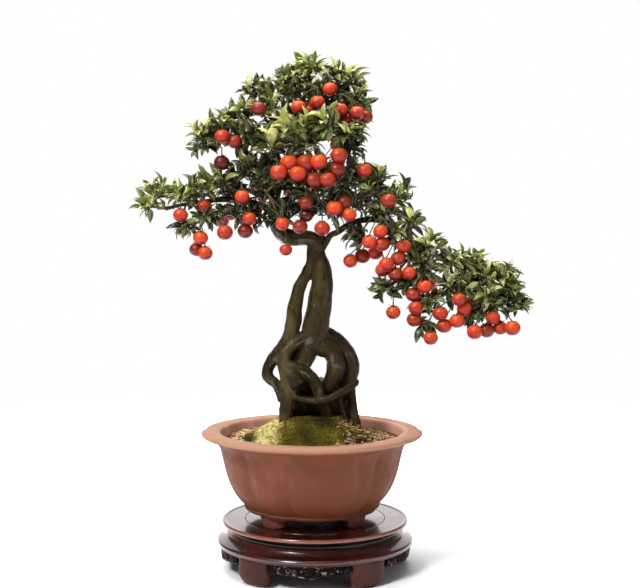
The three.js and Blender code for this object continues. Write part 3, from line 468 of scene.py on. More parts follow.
# Each curl is its share along the apron, its height, its size and its turns, then where it starts, how
# that leans to its side, and which way it winds. Each stem is a line of [share, height].
apron_curls = [[0.13, 25, 4.6, 1.4, 0.5, 0.5, 1], [0.33, 27, 3.8, 1.3, 0.5, -0.5, -1],
               [0.34, 22.4, 2.6, 1.1, 0.5, 0, -1], [0.52, 25.6, 3.6, 1.3, 0.5, 0, 1],
               [0.7, 28, 3, 1.2, 0.5, -0.5, -1], [0.72, 23.4, 2.4, 1.1, 1.5, 0, 1],
               [0.88, 26.4, 3.2, 1.2, 0.5, 0, 1]]
apron_stems = [
    [[0, 17.2], [0.12, 17.8], [0.24, 19.6], [0.36, 20.8], [0.5, 20.4], [0.64, 20.8], [0.8, 22], [0.95, 21.6]],
    [[0, 30.8], [0.12, 31.4], [0.24, 30.4], [0.44, 31.2], [0.6, 30.6], [0.8, 31.4], [0.96, 31]],
    [[0.02, 28.6], [0.05, 23.4], [0.16, 19.6]],
    [[0.22, 30], [0.24, 26], [0.4, 24.4]],
    [[0.6, 30.2], [0.62, 26.4], [0.8, 25]],
]


def apron_edge(share):
    """Height of the apron's lower edge, from -1 at one leg to 1 at the other."""
    return 20.5 - 5.5 * math.exp(-((share / 0.3) ** 2)) + 1.4 * math.cos(4 * math.pi * share)


def scroll(centre, size, turns, start_turn, hand):
    """A curl that winds in from its rim, as [share, height] along the apron."""
    points = []
    for step in range(CURL_STEPS + 1):
        part = step / CURL_STEPS
        swing = start_turn + hand * turns * 2 * math.pi * part
        reach = size * (1 - 0.78 * part)
        across = reach * math.cos(swing) / APRON_HALF
        points.append([centre[0] + across, centre[1] + 0.9 * reach * math.sin(swing)])
    return points


def round_bars(name, paths, thickness, sides, steps):
    """Round bars through [place, share of the thickness], all in one mesh."""
    line = bpy.data.curves.new(name, "CURVE")
    line.dimensions = "3D"
    line.bevel_depth = thickness * mm
    line.bevel_resolution = sides
    line.resolution_u = steps
    line.use_fill_caps = True
    for path in paths:
        spline = line.splines.new("BEZIER")
        spline.bezier_points.add(len(path) - 1)
        for point, (spot, radius) in zip(spline.bezier_points, path):
            point.co = spot
            point.handle_left_type = "AUTO"
            point.handle_right_type = "AUTO"
            point.radius = radius
    choose(add_object(name, line))
    bpy.ops.object.convert(target="MESH")
    return bpy.context.object


def join_to(body, others):
    """Joins other pieces to a body, and shades it smooth but for its sharp edges."""
    choose(body, *others)
    bpy.ops.object.join()
    bpy.ops.object.shade_smooth_by_angle(angle=ROUNDED_EDGE)
    return body


def carve(azimuth):
    """An apron whose middle is so many degrees round the stand: its board and the scrolls on its face."""
    board_rings = []
    for column in range(APRON_COLUMNS + 1):
        share = column / (APRON_COLUMNS / 2) - 1
        low = apron_edge(share)
        along = azimuth + share * APRON_SPAN / 2
        face = [on_ring(APRON_RADIUS, along, height) for height in (APRON_TOP, low + 0.6)]
        back = [on_ring(APRON_RADIUS - APRON_THICK, along, height) for height in (low, APRON_TOP)]
        board_rings.append(face + back)
    board = skin("apron_board", board_rings)
    lines = []
    for hand in (-1, 1):
        for share, height, size, turns, begins, leans, winds in apron_curls:
            start_turn = math.pi * (begins + leans * hand)
            lines.append(scroll([hand * share, height], size, turns, start_turn, winds * hand))
        for stem in apron_stems:
            lines.append([[hand * share, height] for share, height in stem])
    paths = []
    for line in lines:
        path = []
        for index, (share, height) in enumerate(line):
            spot = on_ring(APRON_RADIUS + 1, azimuth + share * APRON_SPAN / 2, height)
            path.append((spot, 1.35 - 0.5 * index / len(line)))
        paths.append(path)
    return join_to(board, [round_bars("scrolls", paths, CARVING_THICK, 2, 3)])


for side in range(LEG_COUNT):
    apron_body = carve(FIRST_LEG + (side + 0.5) * LEG_STEP)
    place(apron_body, f"apron_{side + 1}", carved, "lacquer", f"stand_apron_{side + 1}")


# The pot: unglazed red-brown clay, thrown round and pressed while soft into four broad and four narrow
# lobes. It has a broad rolled rim, a thin moulding above its base and four small cloud-shaped feet.
clay = start("unglazed_clay")
fired = blend(clay, patchy(clay, 9, 0.35, 0.65), paint(100, 52, 30), paint(112, 60, 36))
brushed_down = blend(clay, patchy(clay, 50, 0.5, 0.85, 0.3), fired, paint(124, 74, 52))
specks = blend(clay, patchy(clay, 1500, 0.64, 0.7, 1, 2), brushed_down, paint(86, 52, 38))
clay_radius, clay_height = turned_place(clay)
# Painted light on the pot: the rim and the flare under it are painted paler, a painted highlight; the base
# and feet below 79.5 mm are painted darker, painted shade; the top of the inner wall is painted lighter,
# painted light.
rim_light = between(clay, clay_height, 169.6, 176)
rim_highlighted = blend(clay, rim_light, specks, paint(164, 121, 96))
under_shade = between(clay, clay_height, 77, 79.5, 1, 0)
darkened = blend(clay, under_shade, rim_highlighted, paint(104, 58, 46))
inside = band(clay, clay_radius, 90, 122, 1.5)
inner_wall = sum_up(clay, "MULTIPLY", inside, between(clay, clay_height, 166.5, 168.5))
lit_inside = blend(clay, sum_up(clay, "MULTIPLY", inner_wall, 0.7), darkened, paint(196, 146, 124))
finish(clay, lit_inside, wander(clay, (90, 0.3, 0.7), 0.5, 0.68), patchy(clay, 1300, 0.2, 0.8, 1, 3),
       strength=0.25, depth=0.25, specular=0.22)

POT_X = stand_x - 4 * mm
POT_TURN = -30.5
POT_SIDES = 240
NARROW_LOBE = 15
CREASE_SOFT = 4.5
CREASE_DEPTH = 0.042
RIM_BOTTOM = 171
EAR_DEPTH = 0.028
EAR_MIDDLE = 76
EAR_HALF = 19
pot_profile = [[8, 78], [60, 78], [84, 78], [86.4, 78.4], [88, 79.6], [88.8, 81.2], [88.4, 82.6],
               [87.2, 83.4], [87.4, 84.2], [89.6, 85.6], [93, 89], [97, 93.6], [101, 99], [104.6, 105.4],
               [107.8, 112.4], [110.6, 120], [113.2, 129], [115.4, 138], [117.2, 146.4], [118.8, 153],
               [120.4, 158.6], [122.8, 163], [126, 166.6], [130, 169], [134, 170.8], [137.8, 172.4],
               [140.4, 173.6], [142.2, 175], [142.7, 176.8], [142.2, 178.4], [140.6, 179.5], [138, 179.9],
               [131, 179.8], [123, 179.5], [120.6, 179], [119.4, 177.8], [118.6, 175], [116, 168],
               [113, 160], [108.5, 142], [101, 120], [93.6, 101], [84, 90], [74, 85.6], [60, 85], [8, 85]]


def crease_at(azimuth):
    """How near an azimuth is to one of the eight creases between lobes, from 0 to 1."""
    from_lobe = (azimuth - POT_TURN + 45) % 90 - 45
    return math.exp(-abs(abs(from_lobe) - NARROW_LOBE) / CREASE_SOFT)


def ear_at(azimuth):
    """The rim's small ears at the two sides: above 0 along an ear, and under 0 in the nick at each end."""
    from_ear = abs(abs(azimuth) - EAR_MIDDLE) - EAR_HALF
    nick = math.exp(-((from_ear / 3.2) ** 2))
    return (0.35 if from_ear < 0 else 0) * min(1, abs(from_ear) / 6) - nick


def turn_lobed(profile, sides):
    """Turns a ring about the pot's axis and presses the lobes into it: fully below the rim, less at it."""
    body = turn(profile, sides, POT_X)
    bpy.ops.object.transform_apply(location=True, rotation=True, scale=True)
    for vertex in body.data.vertices:
        x, y, z = vertex.co
        azimuth = math.degrees(math.atan2(x - POT_X, -y))
        deep = 0.55 if z > RIM_BOTTOM * mm else 1 - 0.45 * max(0, (z / mm - 160) / 11)
        grow = 1 - CREASE_DEPTH * deep * crease_at(azimuth)
        outside = math.hypot(x - POT_X, y) > 130 * mm
        if z > RIM_BOTTOM * mm and outside:
            grow = 1 + EAR_DEPTH * ear_at(azimuth)
        vertex.co = (POT_X + (x - POT_X) * grow, y * grow, z)
    return body


# Each section of a foot is [height, width, depth].
FOOT_RADIUS = 81
FIRST_FOOT = -42
FOOT_COUNT = 4
foot_sections = [[64.3, 30, 12.4], [64.9, 33.4, 13.6], [66, 37, 15], [67.6, 39, 15.8], [69, 37.6, 15],
                 [70.4, 35.6, 14.2], [72, 37, 14.8], [74.4, 42, 16.6], [77, 48, 18.6], [80, 52, 20]]
to_pot = Vector((POT_X - stand_x, 0, 0))
feet = []
for foot in range(FOOT_COUNT):
    foot_rings = []
    for height, width, depth in foot_sections:
        foot_azimuth = FIRST_FOOT + 90 * foot
        ring = block_ring(foot_azimuth, height, FOOT_RADIUS, width, depth, sides=24, corner=0.6, lobes=0.05)
        foot_rings.append([spot + to_pot for spot in ring])
    feet.append(skin("foot", foot_rings))
place(join_to(turn_lobed(pot_profile, POT_SIDES), feet), "lobed_pot", clay, "clay", "pot")


# The soil: dark loose potting soil that fills the pot to just under its rim, uneven on top.
def tinted(name, first, second, third, roughness, relief_scale):
    """A material for loose stuff, whose bits each have their own shade in the "shade" attribute."""
    material = start(name)
    shade = put_node(material.node_tree, "ShaderNodeAttribute", attribute_name="shade")
    low_half = between(material, shade.outputs["Fac"], 0, 0.5)
    high_half = between(material, shade.outputs["Fac"], 0.5, 1)
    dark_to_mid = blend(material, low_half, first, second)
    to_light = blend(material, high_half, dark_to_mid, third)
    stained = blend(material, patchy(material, 240, 0.4, 0.8), to_light, first)
    finish(material, stained, roughness, patchy(material, relief_scale, 0.2, 0.8), strength=0.5, depth=0.4,
           specular=0.25)
    return material


def shade_by(body, rule):
    """Gives each corner of a mesh the shade that a rule makes of its place."""
    shades = body.data.attributes.new("shade", "FLOAT", "POINT")
    for vertex in body.data.vertices:
        shades.data[vertex.index].value = rule(vertex.co)


SOIL_SIDES = 120
earth = tinted("potting_soil", paint(44, 30, 16), paint(74, 52, 28), paint(104, 76, 42), 0.95, 900)
soil_profile = [[1, 85.3], [72, 85.3], [86, 101], [97, 120], [104, 142], [110.4, 164], [111.6, 167.2],
                [104, 168.2], [95, 168], [85, 168.6], [75, 168], [65, 168.4], [50, 168], [30, 168], [1, 168]]
soil = turn_lobed(soil_profile, SOIL_SIDES)
for vertex in soil.data.vertices:
    if vertex.co.z > 166 * mm:
        vertex.co.z += 0.9 * mm * noise.noise(vertex.co * 160)
shade_by(soil, lambda spot: 0.4 + 0.5 * noise.noise(spot * 90))
place(soil, "potting_soil", earth, "soil", "soil")


# The moss: a cushion grown over the soil round the roots, short and dense, pale yellow at the front on the
# left, where it has dried and where painted light falls.
# Its surface is made of many small upright shoots on a rounded bed.
moss_green = tinted("living_moss", paint(34, 32, 3), paint(114, 100, 6), paint(252, 240, 160), 0.9, 1100)


def from_stand(x, y, z):
    """The place so many millimetres from the foot of the stand's axis."""
    return Vector((stand_x + x * mm, y * mm, z * mm))


MOSS_X = -6
MOSS_Y = -6
MOSS_HALF_X = 88
MOSS_HALF_Y = 62
MOSS_FOOT = 168.3
MOSS_SIDES = 96
MOSS_ENDS = 36
MOSS_SHOOTS = 9000
FULL_TURN = 6.3


def moss_share(x, y):
    """How far out on the moss a place is: 0 at its middle and 1 at its edge."""
    return math.hypot((x - MOSS_X) / MOSS_HALF_X, (y - MOSS_Y) / MOSS_HALF_Y)


def on_moss(share, turn_by):
    """A place so far out on the moss, whose edge is uneven."""
    uneven = 1 + 0.05 * math.sin(3 * turn_by) + 0.04 * math.cos(5 * turn_by)
    x = MOSS_X + MOSS_HALF_X * share * uneven * math.cos(turn_by)
    y = MOSS_Y + MOSS_HALF_Y * share * uneven * math.sin(turn_by)
    return x, y


def moss_height(x, y):
    share = moss_share(x, y)
    bumps = 1.6 * math.sin(x * 0.13 + 1) * math.cos(y * 0.17) * (1 - share)
    lumps = 2.2 * noise.noise(Vector((x * 0.06, y * 0.06, 3))) * min(1, 3 * (1 - share))
    return MOSS_FOOT + min(28, 52 * (1 - share)) + bumps + lumps


def dry_and_lit(x, y):
    """How pale the moss is, from 0 to 1, by dryness and by painted light: most at the front on the left,
    where the light falls.
    """
    patch = math.exp(-(((x + 60) / 18) ** 4) - (((y + 30) / 36) ** 4))
    return min(1, max(0, 0.28 + 0.86 * patch + 0.4 * noise.noise(Vector((x * 0.05, y * 0.05, 9)))))


# The bed's rings by how far out they lie. The first three are its foot, each at its own height.
ring_shares = [0.96, 0.99, 1, 0.97, 0.92, 0.86, 0.8, 0.72, 0.64, 0.56, 0.48, 0.4, 0.3, 0.2, 0.1, 0.02]
foot_heights = [MOSS_FOOT, 168.6, 169.4]
moss_rings = []
for level, share in enumerate(ring_shares):
    ring = []
    for step in range(MOSS_SIDES):
        x, y = on_moss(share, 2 * math.pi * step / MOSS_SIDES)
        height = foot_heights[level] if level < len(foot_heights) else moss_height(x, y)
        ring.append(from_stand(x, y, height))
    moss_rings.append(ring)
moss_bed = skin("moss_bed", moss_rings)
shade_by(moss_bed, lambda spot: dry_and_lit((spot.x - stand_x) / mm, spot.y / mm) * 0.7)
place(moss_bed, "moss_cushion", moss_green, "moss", "moss")


def copies(name, template, spots, values):
    """One mesh of many copies of a template (vertices, faces), with one value of each attribute a copy."""
    corners, faces = template
    count = len(corners)
    placed = np.concatenate([corners @ spot[:3, :3].T + spot[:3, 3] for spot in spots])
    all_faces = [[k * count + i for i in face] for k in range(len(spots)) for face in faces]
    mesh = bpy.data.meshes.new(name)
    mesh.from_pydata(placed.tolist(), [], all_faces)
    for label, list_of_values in values.items():
        attribute = mesh.attributes.new(label, "FLOAT", "POINT")
        attribute.data.foreach_set("value", np.repeat(np.array(list_of_values, dtype=np.float32), count))
    mesh.polygons.foreach_set("use_smooth", [True] * len(mesh.polygons))
    return add_object(name, mesh)


def mesh_of(piece):
    """A template from an object's mesh. The object is then removed."""
    corners = np.array([v.co[:] for v in piece.data.vertices])
    faces = [list(face.vertices) for face in piece.data.polygons]
    bpy.data.objects.remove(piece)
    return corners, faces


def set_down(place_at, turn_by, tilt, roll, size):
    """The matrix that puts a copy at a place, turned, tilted, rolled and sized."""
    tipped = Matrix.Rotation(turn_by, 4, "Z") @ Matrix.Rotation(tilt, 4, "Y") @ Matrix.Rotation(roll, 4, "X")
    sized = Matrix.Diagonal((*[s * mm for s in size], 1))
    return np.array(Matrix.Translation(place_at) @ tipped @ sized)


bpy.ops.mesh.primitive_cone_add(vertices=4, radius1=0.5, radius2=0.12, depth=1, location=(0, 0, 0.4))
bpy.ops.object.transform_apply(location=True, rotation=False, scale=False)
shoot_template = mesh_of(bpy.context.object)
draw = random.Random(53)
shoot_spots = []
shoot_shades = []
while len(shoot_spots) < MOSS_SHOOTS:
    turn_by = draw.uniform(0, 2 * math.pi)
    x, y = on_moss(math.sqrt(draw.random()), turn_by)
    if x > MOSS_ENDS + draw.uniform(-7, 7):
        continue
    spot = from_stand(x, y, moss_height(x, y) - 0.2)
    width = draw.uniform(0.7, 1.5)
    size = (width, width, draw.uniform(1.2, 3))
    turned_by = draw.uniform(0, FULL_TURN)
    shoot_spots.append(set_down(spot, turned_by, draw.uniform(-0.5, 0.5), draw.uniform(-0.5, 0.5), size))
    shoot_shades.append(min(1, max(0, dry_and_lit(x, y) + draw.uniform(-0.16, 0.16))))
shoots = copies("moss_shoots", shoot_template, shoot_spots, {"shade": shoot_shades})
place(shoots, "moss_shoots", moss_green, "moss")


# The mulch: bark chips and short pieces of straw, dry and tan, strewn by hand on the soil round the moss
# and on its bare slope at the right. Each is a small closed sliver, and they lie at every angle.
mulch = tinted("bark_chips_and_straw", paint(66, 40, 21), paint(160, 118, 72), paint(246, 212, 168), 0.8, 700)

CHIPS = 1700
STREWN_RADIUS = 107
STRAW_SHARE = 0.6
BARE_FROM = 34

bpy.ops.mesh.primitive_cylinder_add(vertices=5, radius=0.5, depth=1, rotation=(0, math.pi / 2, 0))
bpy.ops.object.transform_apply(location=False, rotation=True, scale=False)
apply_modifier(bpy.context.object, "BEVEL", width=0.09)
chip_template = mesh_of(bpy.context.object)
draw = random.Random(41)
chip_spots = []
chip_shades = []
while len(chip_spots) < CHIPS:
    x = draw.uniform(-112, 112)
    y = draw.uniform(-112, 112)
    if math.hypot(x + 4, y) > STREWN_RADIUS:
        continue
    share = moss_share(x, y)
    bare_slope = x > BARE_FROM + draw.uniform(-8, 8)
    if share < 1.02 and not bare_slope:
        continue
    straw = draw.random() < STRAW_SHARE
    length = draw.uniform(7, 15) if straw else draw.uniform(2.5, 6.5)
    width = draw.uniform(0.8, 1.5) if straw else draw.uniform(1.6, 3.4)
    rise = moss_height(x, y) if share < 1 else 168.4
    spot = from_stand(x, y, rise + draw.uniform(0.2, 1.8))
    size = (length, width, width * draw.uniform(0.4, 0.8))
    lean = 0.5 * (1 - share) if share < 1 else 0
    turned_by = draw.uniform(0, FULL_TURN)
    chip_spots.append(set_down(spot, turned_by, draw.uniform(-0.22, 0.22) + lean, draw.uniform(0, 3), size))
    # Chips on the left are painted paler.
    paler_on_left = 0.28 if x < -45 else 0
    chip_shades.append(min(1, paler_on_left + (draw.uniform(0.4, 1) if straw else draw.uniform(0, 0.75))))
chips = copies("mulch", chip_template, chip_spots, {"shade": chip_shades})
place(chips, "mulch", mulch, "soil")


# The wood: two trunks that part and meet again, over a knot of old roots trained into loops, with the
# root legs standing in the soil. All of it grew together, so the strands are melted into one surface.
bark = start("old_bark")
grey_brown = blend(bark, patchy(bark, 40, 0.35, 0.65, 0.5), paint(32, 24, 12), paint(56, 44, 24))
olive = blend(bark, patchy(bark, 22, 0.48, 0.72), grey_brown, paint(46, 39, 10))
streaked = blend(bark, patchy(bark, 260, 0.5, 0.72, 0.2), olive, paint(24, 18, 10))
# The bark is painted darker towards the bottom, below 345 mm.
low_down = between(bark, turned_place(bark)[1], 290, 345, 0.4, 0)
darker_low = blend(bark, low_down, streaked, paint(16, 11, 6))
weathered = blend(bark, patchy(bark, 26, 0.56, 0.7, 0.5), darker_low, paint(72, 61, 36))
scarred = blend(bark, patchy(bark, 120, 0.67, 0.74), weathered, paint(98, 84, 58))
rubbed_smooth = patchy(bark, 45, 0.54, 0.64)
bark_relief = blend(bark, 0.5, patchy(bark, 420, 0.25, 0.8, 0.25), patchy(bark, 1100, 0.2, 0.8, 0.6))
bark_gloss = between(bark, rubbed_smooth, 0, 1, 0.48, 0.24)
bark_coat = between(bark, rubbed_smooth, 0, 1, 0, 0.5)
finish(bark, scarred, bark_gloss, bark_relief, strength=0.5, depth=0.7, coat=bark_coat, specular=0.22)
set_inputs(shader_of(bark), Specular_Tint=paint(255, 240, 206))

# Each strand is a line of [x, y, z, radius].
trunks = [
    # right trunk, down from the crown into the knot
    [[4, 0, 428, 8], [5, 0, 413, 8], [7.5, 0, 404, 8.6], [9.4, 0, 391, 11.8], [9.4, 0, 376, 13.8],
     [7.6, 0, 358, 15.6], [5.6, -1, 339, 16.2], [2.4, -2, 320, 17.2], [-1, -3, 303, 17.6], [-2, -3, 288, 14]],
    # left trunk, from the crown round the slit to the left loop
    [[-4, -1, 424, 6], [-5.5, -1, 411, 5.6], [-6.4, -2, 399, 6], [-9.5, -3, 387, 7.2], [-14.6, -4, 376, 7.8],
     [-20.3, -6, 364, 8.6], [-23.6, -7, 352, 8.9], [-26.4, -8, 337, 9.7], [-28.4, -9, 319, 9.8],
     [-32, -10, 306, 9.6], [-37, -9, 293, 9]],
]
roots = [
    # front root: an S over the knot
    [[-14, -8, 302, 8], [-24, -12, 296, 8.4], [-35, -16, 286, 8], [-38, -18, 275, 7.6], [-36, -20, 267, 7.4],
     [-27, -22, 264, 7.6], [-16, -22, 260, 7.8], [-6, -21, 252, 8], [1, -19, 243, 8], [5, -17, 230, 8],
     [12, -12, 210, 8], [18, -8, 186, 7.5], [20, -8, 150, 6]],
    # foot of the trunk, behind the front root
    [[-2, -3, 300, 17], [-9, -3, 284, 12.5], [-14, -4, 271, 12], [-22, -7, 257, 10], [-27, -10, 246, 9]],
    # inner hoop round the hole
    [[-3, -4, 296, 13], [8, -6, 289, 12.5], [19, -7, 284, 11.6], [25.5, -7, 273, 11.3], [26, -6, 262, 11.4],
     [24, -4, 250, 11.2], [20, -2, 240, 10.6], [14, 2, 226, 9.5], [10, 6, 208, 8.5], [8, 8, 188, 7.5],
     [6, 9, 152, 6]],
    # outer hoop behind it
    [[2, 6, 308, 11], [15, 9, 303, 11], [28.5, 12, 294, 11.4], [39, 13, 282, 11.6], [46, 13, 268, 11.6],
     [47, 12, 256, 11.2], [43.5, 10, 244, 10.8], [37, 9, 232, 10], [33, 12, 214, 9], [32, 14, 190, 8],
     [34, 15, 152, 6]],
    # cross root in front
    [[54, 0, 244, 4.6], [50, -6, 239, 5.2], [42, -13, 235, 5.2], [34, -17, 231, 5.4], [23, -21, 225.5, 5.4],
     [8, -23, 220, 5.4], [-8, -23, 221, 5.4], [-21, -19, 224, 5.2], [-32, -15, 230, 5]],
    # left loop, standing away from the knot
    [[-36, -9, 296, 9], [-43, -8, 288, 8.6], [-51, -7, 278, 8.4], [-57, -6, 268, 8], [-62, -6, 257, 7.6],
     [-59.5, -7, 248, 7.2], [-52, -9, 242, 7], [-46, -11, 233, 7], [-41, -13, 220, 7.4]],
    # root inside the left loop
    [[-42, -12, 286, 7], [-43, -13, 273, 6.5], [-43, -13, 262, 5.6], [-40, -14, 250, 5.5],
     [-37, -15, 236, 6]],
    # left front leg, down from a knuckle
    [[-27, -12, 252, 11], [-30, -14, 238, 10], [-33.5, -15, 227, 8.4], [-36, -15, 216, 9], [-38, -16, 200, 9],
     [-38.5, -17, 186, 8.8], [-38.5, -18, 170, 9], [-38, -19, 150, 7]],
    # right leg
    [[42, 8, 242, 8], [47, 4, 230, 6.5], [49, 2, 216, 6], [51, 0, 200, 5.8], [55, -2, 182, 5.8],
     [58, -3, 152, 5]],
    # shaded legs behind
    [[-22, -2, 250, 10], [-18, 6, 230, 10], [-14, 10, 208, 10], [-13, 11, 184, 9], [-13, 12, 152, 7]],
    [[2, 4, 244, 11], [4, 12, 222, 12], [3, 14, 204, 12], [2, 15, 184, 10], [0, 16, 152, 7]],
    [[28, 8, 240, 12], [24, 14, 222, 12], [21, 16, 204, 12], [20, 18, 184, 10], [18, 20, 152, 7]],
    # thin root near the moss
    [[30, -14, 229, 3.4], [35, -14, 208, 2.8], [42, -15, 192, 2.8], [50, -17, 168, 2.8]],
    # knuckle in front of the knot
    [[-38, -17, 264, 7], [-33, -21, 257, 8.6], [-26, -26, 249, 10.4], [-20, -28, 241, 9.4]],
    # strands that thicken the knot behind
    [[-22, 6, 296, 8], [-25, 8, 280, 9.5], [-26, 8, 266, 9.5], [-28, 6, 250, 8.5]],
    [[-14, 10, 250, 8], [-6, 14, 240, 10], [-4, 15, 226, 9]],
    # more shaded legs behind
    [[-20, 4, 238, 7], [-24, 9, 222, 8], [-26, 11, 200, 8.4], [-26, 12, 180, 8], [-26, 13, 152, 6]],
    [[40, 14, 236, 7], [43, 16, 220, 7], [43, 18, 200, 7.4], [43, 18, 180, 7], [43, 18, 152, 5]],
]


def strands(name, paths, sides, steps):
    """Round strands through places [x, y, z, radius], all in one mesh."""
    placed = [[(from_stand(x, y, z), radius) for x, y, z, radius in path] for path in paths]
    return round_bars(name, placed, 1, sides, steps)


def melt(body, voxel, rounds):
    """Joins a mesh's strands into one skin and smooths the seams."""
    apply_modifier(body, "REMESH", mode="VOXEL", voxel_size=voxel * mm, use_smooth_shade=True)
    apply_modifier(body, "SMOOTH", factor=0.5, iterations=rounds)


def gnarl(body, lump, ridge):
    """Lumps and lengthwise ridges in the surface, in millimetres."""
    moves = []
    for vertex in body.data.vertices:
        place_at = vertex.co / mm
        low = noise.noise(place_at * 0.045)
        fine = noise.noise(Vector((place_at.x * 0.2, place_at.y * 0.2, place_at.z * 0.07)))
        moves.append(vertex.co + vertex.normal * (lump * low + ridge * fine) * mm)
    for vertex, moved in zip(body.data.vertices, moves):
        vertex.co = moved


trunk = strands("trunk", trunks + roots, 6, 10)
melt(trunk, 1.3, 6)
gnarl(trunk, 1.2, 0.8)
place(trunk, "trunk_and_roots", bark, "bark", "wood")


# The boughs: the leader that climbs through the crown in an S, the two on the left, the long one that
# cascades to the right, and the side branch that each spray of leaves stands on.
boughs = [
    # leader: thick, first to the left, then up through the crown in an S
    [[5, 0, 405, 7.5], [3, 0, 423, 9.4], [-8, -2, 429.5, 10], [-20, -3, 430, 10.4], [-31, -2, 430.5, 11.2],
     [-42, -1, 436, 10.6], [-50, 0, 448, 9.2], [-53, 3, 470, 7.6], [-46, 6, 508, 6.4], [-30, 7, 545, 5.4],
     [-12, 5, 582, 4.4], [4, 3, 610, 3.4], [12, 2, 626, 2.6]],
    # left bough, out to the lowest left tips
    [[-50, 2, 460, 5], [-75, -4, 474, 4.4], [-105, -10, 479, 3.8], [-140, -14, 477, 3.2],
     [-172, -16, 472, 2.7], [-192, -16, 467, 2.3]],
    # upper left bough
    [[-50, 4, 488, 5], [-72, 0, 518, 4], [-92, -4, 543, 3.4], [-110, -6, 556, 2.8], [-122, -6, 562, 2.3]],
    # right bough: the cascade
    [[5, 0, 404, 6], [8, -1, 414, 5.6], [14, -2, 424, 4.6], [20, -3, 433, 4], [30, -3, 438, 4],
     [42, -3, 446, 4.2], [62, -4, 453, 4.4], [86, -6, 452, 4.2], [110, -9, 438, 3.8], [138, -12, 417, 3.4],
     [168, -14, 403, 3], [203, -15, 394, 2.6], [232, -15, 386, 2.2]],
    # two short upright twigs on the crown
    [[6, -2, 412, 2.6], [9, -5, 432, 1.9], [12, -8, 446, 1.6]],
    [[12, -1, 416, 2.4], [11, 3, 436, 1.8], [8, 6, 450, 1.5]],
]
